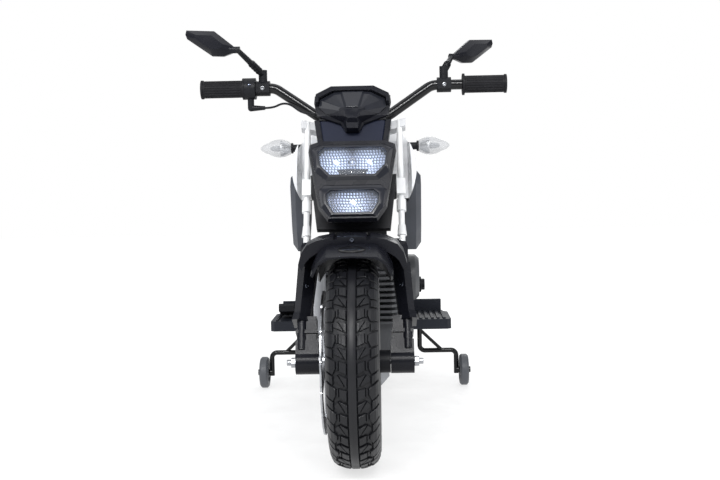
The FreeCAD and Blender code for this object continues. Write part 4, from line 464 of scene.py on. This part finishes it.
# Blocks of one side in millimetres: distance across, and start and end along the tread
BLOCKS_HALF_WIDTH = 0.042
BLOCKS = [
    [(8.6, -10, 6.5), (14, -7.5, 8.5), (20, -4.5, 10.5)],
    [(21.4, -3.5, 10.8), (24.6, -4.5, 8.5)],
    [(8, -30.5, -16), (11.8, -26, -14.2), (18.2, -15.2, -11.2), (21.2, -10.8, -9.8)],
    [(13.2, -28.6, -26), (20, -24.5, -14.6), (23, -23.2, -10.8), (28.5, -20.4, -16.2)],
    [(26.5, -1, 9), (31, -10.5, 12), (38, -7.5, 15), (44, -5, 17.5), (50, -3.5, 19)],
    [(31.5, -26.5, -13.5), (38, -23.5, -10.5), (44, -21, -8), (50, -19.5, -6.5)],
]


class Tread:
    """Cross section over the block tops, read by the distance from the middle."""

    def __init__(self, centre_y, width):
        self.centre_y = centre_y
        half = width / 2
        self.half = half
        corners = [(share * half, TYRE_R - drop) for share, drop in SECTION]
        corners += [(half - inset, radius) for inset, radius in SIDEWALL]
        self.outline = [Vector(corner) for corner in corners]
        self.reach = [0.0]
        for first, second in zip(self.outline, self.outline[1:]):
            self.reach.append(self.reach[-1] + (second - first).length)

    def read(self, across):
        """Point and outward direction on the smoothed outline."""
        index = 1
        while index < len(self.reach) - 1 and self.reach[index] < across:
            index += 1
        span = self.reach[index] - self.reach[index - 1]
        share = (across - self.reach[index - 1]) / span
        before = self.outline[max(index - 2, 0)]
        first = self.outline[index - 1]
        second = self.outline[index]
        after = self.outline[min(index + 1, len(self.outline) - 1)]
        spot = first.lerp(second, share)
        slope = (second - before).lerp(after - first, share).normalized()
        return spot, Vector((-slope.y, slope.x))

    def locate(self, side, across, along, height):
        """Point on the tyre from the distances across and along the tread and the height over it."""
        spot, outward = self.read(across)
        spot = spot + outward * height
        angle = along / TYRE_R
        y = self.centre_y + spot.y * math.sin(angle)
        z = AXLE_Z + spot.y * math.cos(angle)
        return Vector((side * spot.x, y, z))


def carcass_ring(tread, along):
    """One ring round the tyre's section: rib, groove, base of the blocks, sidewalls and bead."""
    wall = tread.reach[-1] - SHOULDER_REACH
    steps = TREAD_STEPS + [(SHOULDER_REACH + wall * share, height) for share, height in WALL_STEPS]
    left = [tread.locate(1, across, along, height) for across, height in steps]
    right = [tread.locate(-1, across, along, height) for across, height in reversed(steps[1:])]
    return right + left


def tread_block(bm, tread, side, stations, start, sink):
    """Raised block with a drafted wall and a chamfered top, from stations across the tread."""
    scale = tread.half / BLOCKS_HALF_WIDTH
    layers = [(-BLOCK_DEPTH - BLOCK_FOOT, -BLOCK_DRAFT), (-BLOCK_CHAMFER - sink, 0), (-sink, BLOCK_DRAFT)]
    rings = []
    for height, inset in layers:
        lower = []
        upper = []
        for index, (across, low, high) in enumerate(stations):
            push = inset if index == 0 else -inset if index == len(stations) - 1 else 0
            spot = across * 0.001 * scale + push
            lower.append(bm.verts.new(tread.locate(side, spot, start + low * 0.001 + inset, height)))
            upper.append(bm.verts.new(tread.locate(side, spot, start + high * 0.001 - inset, height)))
        rings.append((lower, upper))
    loops = [lower + list(reversed(upper)) for lower, upper in rings]
    bridge_rings(bm, loops)
    lower, upper = rings[-1]
    bridge_rings(bm, [lower, upper], closed=False)


def add_tyre(name, node, body, centre_y, width):
    tread = Tread(centre_y, width)
    bm = bmesh.new()
    girth = 2 * math.pi * TYRE_R
    segments = PITCHES * RINGS_PER_PITCH
    rings = []
    for index in range(segments):
        ring = carcass_ring(tread, girth * index / segments)
        rings.append([bm.verts.new(point) for point in ring])
    for face in bridge_rings(bm, rings + [rings[0]]):
        face.smooth = True
    for index in range(PITCHES):
        for side in (1, -1):
            for order, stations in enumerate(BLOCKS):
                sink = LOW_BLOCK_SINK if order == LOW_BLOCK else 0
                tread_block(bm, tread, side, stations, girth * index / PITCHES, sink)
    finish_piece(name, bm, rubber, body, "tread", node)


add_tyre("front_block_tyre", "front_tyre", "front_wheel", FRONT_Y, 0.084)
add_tyre("rear_block_tyre", "rear_tyre", "rear_wheel", REAR_Y, 0.100)


# Seat pad: the CAD form blown up as cloth, then welted
PAD_NARROWING = 0.985
PAD_SHORTENING = 0.99
PAD_VOXEL = 0.006
PAD_PRESSURE = 4.0
PAD_SWELL = 0.006
PAD_UNDERSIDE = 0.006
CLOTH_STEPS = 20
WELT_R = 0.0016
WELT_LEVEL = 0.42
WELT_POINTS = 72
WELT_LENGTHENING = 1.7
RAY_START = 0.5


def swell(pad, pressure, cap):
    """Blow a closed mesh up as cloth, keeping its underside and limiting how far a point moves."""
    start = [vertex.co.copy() for vertex in pad.data.vertices]
    low = min(point.z for point in start)
    group = pad.vertex_groups.new(name="underside")
    group.add([index for index, point in enumerate(start) if point.z < low + PAD_UNDERSIDE], 1.0, "REPLACE")
    cloth = pad.modifiers.new("cloth", "CLOTH")
    cloth.settings.use_pressure = True
    cloth.settings.uniform_pressure_force = pressure
    cloth.settings.effector_weights.gravity = 0
    cloth.settings.vertex_group_mass = "underside"
    for step in range(1, CLOTH_STEPS + 1):
        scene.frame_set(step)
    shaped = pad.evaluated_get(bpy.context.evaluated_depsgraph_get())
    moved = [vertex.co.copy() for vertex in shaped.data.vertices]
    pad.modifiers.remove(cloth)
    scene.frame_set(1)
    for vertex, before, after in zip(pad.data.vertices, start, moved):
        step = after - before
        if step.length > cap:
            step *= cap / step.length
        vertex.co = before + step


def add_seat_pad():
    source = nodes["seat_pad"].data
    bm = bmesh.new()
    bm.from_mesh(source)
    bmesh.ops.remove_doubles(bm, verts=bm.verts, dist=0.00001)
    corners = [vertex.co for vertex in bm.verts]
    low = Vector([min(corner[axis] for corner in corners) for axis in range(3)])
    high = Vector([max(corner[axis] for corner in corners) for axis in range(3)])
    middle = (low + high) / 2
    for vertex in bm.verts:
        vertex.co.x = middle.x + (vertex.co.x - middle.x) * PAD_NARROWING
        vertex.co.y = middle.y + (vertex.co.y - middle.y) * PAD_SHORTENING
    pad = finish_piece("seat_cushion", bm, leather, "chassis", "seat_cover", "seat_pad")
    remesh = pad.modifiers.new("remesh", "REMESH")
    remesh.mode = "VOXEL"
    remesh.voxel_size = PAD_VOXEL
    shaped = bpy.data.meshes.new_from_object(pad.evaluated_get(bpy.context.evaluated_depsgraph_get()))
    pad.modifiers.remove(remesh)
    pad.data = shaped
    if not shaped.materials:
        shaped.materials.append(leather)
    swell(pad, PAD_PRESSURE, PAD_SWELL)
    for face in shaped.polygons:
        face.use_smooth = True
    subdivide = pad.modifiers.new("subdivide", "SUBSURF")
    subdivide.levels = 1
    subdivide.render_levels = 1
    add_welt(pad, low, high)


def add_welt(pad, low, high):
    """Piping sewn round the pad between its top and its side."""
    tree = BVHTree.FromObject(pad, bpy.context.evaluated_depsgraph_get())
    middle = (low + high) / 2
    level = low.z + (high.z - low.z) * WELT_LEVEL
    data = bpy.data.curves.new("seat_welt", "CURVE")
    data.dimensions = "3D"
    data.bevel_depth = WELT_R
    data.bevel_resolution = 3
    spline = data.splines.new("NURBS")
    points = []
    for index in range(WELT_POINTS):
        angle = 2 * math.pi * index / WELT_POINTS
        away = Vector((math.cos(angle), math.sin(angle) * WELT_LENGTHENING, 0)).normalized()
        hit = tree.ray_cast(Vector((middle.x, middle.y, level)) + away * RAY_START, -away)[0]
        if hit:
            points.append(hit)
    spline.points.add(len(points) - 1)
    for point, place in zip(spline.points, points):
        point.co = (*place, 1)
    spline.order_u = 3
    spline.use_cyclic_u = True
    spline.resolution_u = 4
    welt = bpy.data.objects.new("seat_welt", data)
    data.materials.append(leather)
    scene.collection.objects.link(welt)
    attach(welt, "chassis")


add_seat_pad()


# Headlights: chromed facets behind the lenses, with lamps between them
# Right half of each lens in millimetres: distance across and height over the lamp's middle
UPPER_LENS = [(50, 27), (59.5, 18), (56, -6), (38, -25)]
LOWER_LENS = [(36.5, -53), (45.5, -61), (43, -78), (32, -95)]
INSERT = [(21, -11.5), (25, -13), (20, -22.5), (17, -23.5)]
UPPER_DIODES = [(-29, 3), (29, 3)]
LOWER_DIODES = [(0, -72)]
LAMP_HEIGHT = 0.329
PLATE_BACK = 87
PLATE_FRONT = 101.5
PLATE_INSET = 0.4
PLATE_LOWERING = 0.995
PLATE_BEVEL = 1
PLATE_BEVEL_SHARE = 0.97
FACET_ROOT = 100.5
FACET_FRONT = 102.5
FACET_RISE = 3.4
FACET_BOWL = 8
FACET_PITCH = 5.0
FACET_SLOPE = 0.55
FACET_MARGIN = 0.5
UPPER_GAP = 0.55
LOWER_GAP = 0.7
DIODE_ROOT = 101
DIODE_ROOM = 4.5
INSERT_ROOM = (25, -10)
INSERT_FRONT = 107.5
# Turned forms in metres: radius and height
DIODE = [(0.0052, 0), (0.0052, 0.004), (0.0044, 0.0056), (0.0026, 0.0066), (0.0008, 0.007)]
CENTRE_RING = [(0.0075, 0), (0.0075, 0.007), (0.0066, 0.0078), (0.0058, 0.007), (0.0050, 0.002),
               (0.0010, 0.001)]
AHEAD = Vector((0, -1, 0))


def lamp_point(x, height, forward):
    """Local point from millimetres across and above the lamp and the distance forward."""
    return Vector((x * 0.001, -forward * 0.001, LAMP_HEIGHT + height * 0.001))


def half_width(outline, height):
    """Half width of a lens outline at a height."""
    for (x0, h0), (x1, h1) in zip(outline, outline[1:]):
        if h1 <= height <= h0:
            return x0 + (x1 - x0) * (h0 - height) / (h0 - h1)
    return 0


def lamp_plate(bm, outline, front, back):
    """Plate over both halves of an outline, with a bevelled front."""
    loop = outline + [(-x, height) for x, height in reversed(outline)]
    rings = []
    for forward, share in ((back, 1.0), (front - PLATE_BEVEL, 1.0), (front, PLATE_BEVEL_SHARE)):
        rings.append([bm.verts.new(lamp_point(x * share, height, forward)) for x, height in loop])
    close_rings(bm, rings)


def lamp_facets(bm, outline, lamps, pitch, gap, skip):
    """Small pyramids on a bowl that gets deeper towards each lamp."""
    top = outline[0][1]
    bottom = outline[-1][1]
    rows = int((top - bottom) / pitch)
    for row in range(rows):
        height = top - (row + 0.5) * (top - bottom) / rows
        half = min(half_width(outline, height + pitch / 2), half_width(outline, height - pitch / 2))
        half -= FACET_MARGIN
        columns = int(2 * half / pitch)
        for column in range(columns):
            x = -half + (column + 0.5) * 2 * half / columns
            if skip and abs(x) < skip[0] and height < skip[1]:
                continue
            near = min(math.hypot(x - lamp_x, height - lamp_h) for lamp_x, lamp_h in lamps)
            if near < DIODE_ROOM:
                continue
            forward = FACET_FRONT + min(near / FACET_BOWL, FACET_RISE)
            size = pitch / 2 - gap
            base = []
            rim = []
            for dx, dh in ((-size, -size), (size, -size), (size, size), (-size, size)):
                base.append(bm.verts.new(lamp_point(x + dx, height + dh, FACET_ROOT)))
                rim.append(bm.verts.new(lamp_point(x + dx, height + dh, forward)))
            tip = bm.verts.new(lamp_point(x, height, forward + size * FACET_SLOPE))
            bridge_rings(bm, [base, rim])
            for index in range(4):
                bm.faces.new((rim[index], rim[(index + 1) % 4], tip))


def add_headlights():
    plates = bmesh.new()
    facets = bmesh.new()
    lamps = bmesh.new()
    for outline in (UPPER_LENS, LOWER_LENS):
        plate = [(x - PLATE_INSET, height * PLATE_LOWERING) for x, height in outline]
        lamp_plate(plates, plate, PLATE_FRONT, PLATE_BACK)
    lamp_facets(facets, UPPER_LENS, UPPER_DIODES, FACET_PITCH, UPPER_GAP, INSERT_ROOM)
    lamp_facets(facets, LOWER_LENS, LOWER_DIODES, FACET_PITCH, LOWER_GAP, None)
    for x, height in UPPER_DIODES + LOWER_DIODES:
        lathe(lamps, DIODE, 20, facing(lamp_point(x, height, DIODE_ROOT), AHEAD))
    insert = bmesh.new()
    lamp_plate(insert, INSERT, INSERT_FRONT, FACET_ROOT)
    centre = bmesh.new()
    lathe(centre, CENTRE_RING, 24, facing(lamp_point(0, 3, FACET_ROOT), AHEAD))
    for bm in (plates, facets, lamps, insert, centre):
        bm.transform(STEER_PLACE)
    finish_piece("lamp_back_plates", plates, dark_chrome, "steering", "chromed", "headlight_reflectors")
    finish_piece("lamp_facets", facets, painted_glow_chrome, "steering", "chromed")
    finish_piece("lamp_diodes", lamps, lamp_glow, "steering", "chromed")
    finish_piece("lamp_insert", insert, black_satin, "steering", "black_plastic")
    finish_piece("lamp_centre_ring", centre, grey_chrome, "steering", "chromed")


add_headlights()


NECK_INLAY = [(58.5, 102), (51, 47.5)]
NECK_FRONT = 70.2
NECK_BACK = 68


def add_neck_panel():
    """Blue-black inlay in the recess above the headlight."""
    bm = bmesh.new()
    lamp_plate(bm, NECK_INLAY, NECK_FRONT, NECK_BACK)
    bm.transform(STEER_PLACE)
    finish_piece("neck_inlay", bm, panel_blue, "steering", "black_gloss")


add_neck_panel()


# Cowl: a faceted shield between the visor and the nose
# Right half in millimetres: distance across, height over the cowl's middle and distance forward
COWL_CENTRE = 102
SHIELD_RIM = [(22, 50, 86.8), (33, 50, 86), (58.5, 36.5, 84), (60, 21, 83), (47, 8.5, 80.6), (14, 4.5, 97.4)]
SHIELD_RIDGE = [(18.5, 50, 89.4), (9.6, 12.5, 100.8), (13.4, 10.5, 97.8)]
SHIELD_THICKNESS = 3.0
SHIELD_EDGE = 0.0007
SHIELD_EDGE_ANGLE = 4


def add_cowl_shield():
    """Sheet of flat facets on each side of a raised middle, numbered along the rim and then the ridge."""
    bm = bmesh.new()
    sheets = []
    for depth in (0, SHIELD_THICKNESS):
        sheet = {}
        for side in (1, -1):
            for key, (x, height, forward) in enumerate(SHIELD_RIM + SHIELD_RIDGE):
                sheet[side, key] = bm.verts.new(lamp_point(side * x, COWL_CENTRE + height, forward - depth))
        sheets.append(sheet)
    outer = [(1, key) for key in (6, 0, 1, 2, 3, 4, 5, 8, 7)]
    loop = outer + [(-1, key) for side, key in reversed(outer)]
    patches = [((1, 6), (-1, 6), (-1, 7), (1, 7))]
    for side in (1, -1):
        patches.append(((side, 0), (side, 6), (side, 7), (side, 8)))
        patches.append(((side, 1), (side, 0), (side, 8)))
        patches.append(((side, 2), (side, 1), (side, 8)))
        patches.append(((side, 2), (side, 8), (side, 5)))
        patches.append(((side, 3), (side, 2), (side, 5)))
        patches.append(((side, 4), (side, 3), (side, 5)))
    for sheet in sheets:
        for patch in patches:
            bm.faces.new([sheet[key] for key in patch])
    bridge_rings(bm, [[sheet[key] for key in loop] for sheet in sheets])
    bm.transform(STEER_PLACE)
    shield = finish_piece("cowl_shield", bm, bezel_painted_highlight_satin, "steering", "black_gloss")
    round_edges(shield, SHIELD_EDGE, SHIELD_EDGE_ANGLE)


add_cowl_shield()


# Turn signals: a bowl and a bulb inside each lens, as shares of the lens radius and heights in metres
SIGNAL_DEPTH = 0.058
SIGNAL_BOWL = [(0.45, 0.002), (0.84, 0.016), (0.86, 0.020), (0.78, 0.020), (0.4, 0.006)]
SIGNAL_BULB = [(0.26, 0.004), (0.26, 0.018), (0.34, 0.024), (0.32, 0.032), (0.2, 0.038), (0.05, 0.040)]


def add_signal_insides():
    low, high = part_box("turn_signal_lenses")
    y = (low[1] + high[1]) / 2
    z = (low[2] + high[2]) / 2
    radius = (high[2] - low[2]) / 2
    reach = high[0] - SIGNAL_DEPTH
    reflectors = bmesh.new()
    bulbs = bmesh.new()
    for side in (1, -1):
        place = facing(Vector((side * reach, y, z)), Vector((side, 0, 0)))
        lathe(reflectors, [(share * radius, height) for share, height in SIGNAL_BOWL], 24, place)
        lathe(bulbs, [(share * radius, height) for share, height in SIGNAL_BULB], 20, place)
    finish_piece("signal_reflectors", reflectors, grey_chrome, "chassis", "chromed")
    finish_piece("signal_bulbs", bulbs, silver_plastic, "chassis", "silver_plastic")


add_signal_insides()


# Dial in the dash, with plain marks and a needle
DIAL_CENTRE = Vector((0, -0.051, 0.487))
DIAL_FACE = [(0.0166, 0), (0.0166, 0.0016), (0.0158, 0.0022), (0.0150, 0.0010), (0.0005, 0.0008)]
MARK_COUNT = 25
MARK_START = -30
MARK_STEP = 10
MARK_PLACE = (0.0125, 0, 0.0011)
LONG_MARK = 0.0030
SHORT_MARK = 0.0017
NEEDLE_ANGLE = 200
NEEDLE = [(-0.003, -0.0006), (0.011, -0.0002), (0.011, 0.0002), (-0.003, 0.0006)]
NEEDLE_LEVELS = (0.0013, 0.0019)
NEEDLE_HUB = [(0.0016, 0.001), (0.0016, 0.0022), (0.0012, 0.0026), (0.0002, 0.0027)]


def add_dial():
    centre = Matrix.Translation(DIAL_CENTRE)
    face = bmesh.new()
    marks = bmesh.new()
    needle = bmesh.new()
    lathe(face, DIAL_FACE, 48, centre)
    for index in range(MARK_COUNT):
        angle = math.radians(MARK_START + index * MARK_STEP)
        length = LONG_MARK if index % 4 == 0 else SHORT_MARK
        turn = centre @ Matrix.Rotation(angle, 4, "Z")
        stretch = Matrix.Diagonal((length, 0.0005, 0.0004, 1))
        bmesh.ops.create_cube(marks, size=1, matrix=turn @ Matrix.Translation(MARK_PLACE) @ stretch)
    pointer = centre @ Matrix.Rotation(math.radians(NEEDLE_ANGLE), 4, "Z")
    rings = []
    for z in NEEDLE_LEVELS:
        rings.append([needle.verts.new(pointer @ Vector((x, y, z))) for x, y in NEEDLE])
    close_rings(needle, rings)
    lathe(needle, NEEDLE_HUB, 16, pointer)
    for bm in (face, marks, needle):
        bm.transform(STEER_PLACE)
    finish_piece("dial_face", face, black_satin, "steering", "black_plastic")
    finish_piece("dial_marks", marks, dial_white, "steering", "white_plastic")
    finish_piece("dial_needle", needle, needle_red, "steering", "red_lens")


add_dial()


# Plain oval on the front fender, bent to its curve
OVAL_HALF_WIDTH = 0.022
OVAL_HALF_HEIGHT = 0.012
OVAL_ANGLE = math.radians(-20.5)
OVAL_POINTS = 40
OVAL_RINGS = [(1.0, -0.0012), (1.0, 0.0010), (0.95, 0.0016), (0.7, 0.0017), (0.4, 0.0017), (0.1, 0.0017)]
FENDER_R = 0.206
FENDER_CROWN = 0.05


def add_fender_oval():
    bm = bmesh.new()
    rings = []
    for share, height in OVAL_RINGS:
        ring = []
        for index in range(OVAL_POINTS):
            angle = 2 * math.pi * index / OVAL_POINTS
            x = OVAL_HALF_WIDTH * share * math.cos(angle)
            turn = OVAL_ANGLE + OVAL_HALF_HEIGHT * share * math.sin(angle) / FENDER_R
            level = FENDER_R + height - abs(x) * FENDER_CROWN
            y = FRONT_Y + level * math.sin(turn)
            z = AXLE_Z + level * math.cos(turn)
            ring.append(bm.verts.new((x, y, z)))
        rings.append(ring)
    close_rings(bm, rings)
    for face in bm.faces:
        face.smooth = True
    finish_piece("fender_oval", bm, black_paint, "fork_slider", "black_gloss")


add_fender_oval()


# Screw heads, each set on the surface that it fastens, as shares of its radius
SCREW_HEAD = [(1.0, -0.25), (1.0, 0.25), (0.86, 0.45), (0.56, 0.56), (0.50, 0.50), (0.46, 0.12), (0.05, 0.08)]
# Node, body, start and direction of the ray to the surface, radius, and whether the screw is dark
SCREWS = [
    ("mirror_clamps", "steering", (0.169, -0.4, 0.654), (0, 1, 0), 0.0042, False),
    ("mirror_clamps", "steering", (-0.169, -0.4, 0.654), (0, 1, 0), 0.0042, False),
    ("mirror_housing_right", "mirror_head_right", (-0.204, -0.5, 0.7163), (0, 1, 0), 0.0032, True),
    ("mirror_housing_left", "mirror_head_left", (0.190, -0.4, 0.7163), (0, 1, 0), 0.0032, True),
    ("front_fender", "fork_slider", (0, -0.7, 0.3815), (0, 1, 0), 0.0040, True),
    ("fork_leg_left", "fork_slider", (0.081, -0.8, 0.300), (0, 1, 0), 0.0036, True),
    ("fork_leg_right", "fork_slider", (-0.081, -0.8, 0.300), (0, 1, 0), 0.0036, True),
    ("throttle_housing", "steering", (-0.193, -0.4, 0.660), (0, 1, 0), 0.0032, True),
    ("side_panel_left", "chassis", (0.4, -0.06, 0.44), (-1, 0, 0), 0.0042, True),
    ("side_panel_right", "chassis", (-0.4, -0.06, 0.44), (1, 0, 0), 0.0042, True),
]


def add_screws():
    graph = bpy.context.evaluated_depsgraph_get()
    for index, (name, body, start, direction, radius, dark) in enumerate(SCREWS):
        tree = BVHTree.FromObject(nodes[name], graph)
        hit, normal, face, distance = tree.ray_cast(Vector(start), Vector(direction))
        if not hit:
            continue
        if normal.dot(Vector(direction)) > 0:
            normal = -normal
        bm = bmesh.new()
        profile = [(share * radius, height * radius) for share, height in SCREW_HEAD]
        lathe(bm, profile, 18, facing(hit, normal))
        finish_piece("screw_%02d" % index, bm, dark_chrome if dark else zinc, body, "steel")


add_screws()


# Throttle cable from the housing into the cowl
CABLE_EXIT = Vector((-0.166, -0.14280, 0.61813))
CABLE_STEPS = [(0, 0, 0), (0.015, 0, 0), (0.033, -0.006, 0.008), (0.050, -0.017, 0.004),
               (0.068, -0.033, -0.011)]
CABLE_ENTRY_X = -0.080
CABLE_END = Vector((-0.060, -0.19384, 0.60123))
CABLE_R = 0.002


def add_cable():
    exit_point = CABLE_EXIT
    route = [exit_point + Vector(step) for step in CABLE_STEPS]
    route += [Vector((CABLE_ENTRY_X, CABLE_END.y, CABLE_END.z)), CABLE_END]
    data = bpy.data.curves.new("throttle_cable_sleeve", "CURVE")
    data.dimensions = "3D"
    data.bevel_depth = CABLE_R
    data.bevel_resolution = 4
    data.use_fill_caps = True
    spline = data.splines.new("NURBS")
    spline.points.add(len(route) - 1)
    for point, place in zip(spline.points, route):
        point.co = (*place, 1)
    spline.order_u = 3
    spline.use_endpoint_u = True
    spline.resolution_u = 12
    cable = bpy.data.objects.new("throttle_cable_sleeve", data)
    scene.collection.objects.link(cable)
    data.materials.append(black_satin)
    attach(cable, "steering")
    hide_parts("throttle_cable")


add_cable()


# Floor, which glows less round the bike as painted shade, so that its cast shadow shows as well
FLOOR_CORNERS = [(-6, -4, 0), (6, -4, 0), (6, 8, 0), (-6, 8, 0)]
FLOOR_DROP = 0.0005
FLOOR_GLOW_IN_PAINTED_SHADE = 0.70
FLOOR_GLOW_FAR = 0.92
FLOOR_PAINTED_SHADE_INNER = 0.5
FLOOR_PAINTED_SHADE_OUTER = 2.0


def add_floor():
    mesh = bpy.data.meshes.new("floor")
    mesh.from_pydata(FLOOR_CORNERS, [], [(0, 1, 2, 3)])
    floor = bpy.data.objects.new("floor", mesh)
    floor.location.z = -FLOOR_DROP
    pale = moulded("pale_floor", (0.30, 0.30, 0.30), 0.8, 0.00002, 60)
    pale.set("Emission Color", (1, 1, 1, 1))
    # Painted shade: less emission near the bike, rising to the even glow further out
    away = pale.away_from([(0, 0, 0)])
    glow = pale.spread(away, FLOOR_GLOW_IN_PAINTED_SHADE, FLOOR_GLOW_FAR, FLOOR_PAINTED_SHADE_INNER, FLOOR_PAINTED_SHADE_OUTER)
    pale.link(glow, pale.bsdf.inputs["Emission Strength"])
    mesh.materials.append(pale.material)
    scene.collection.objects.link(floor)


add_floor()
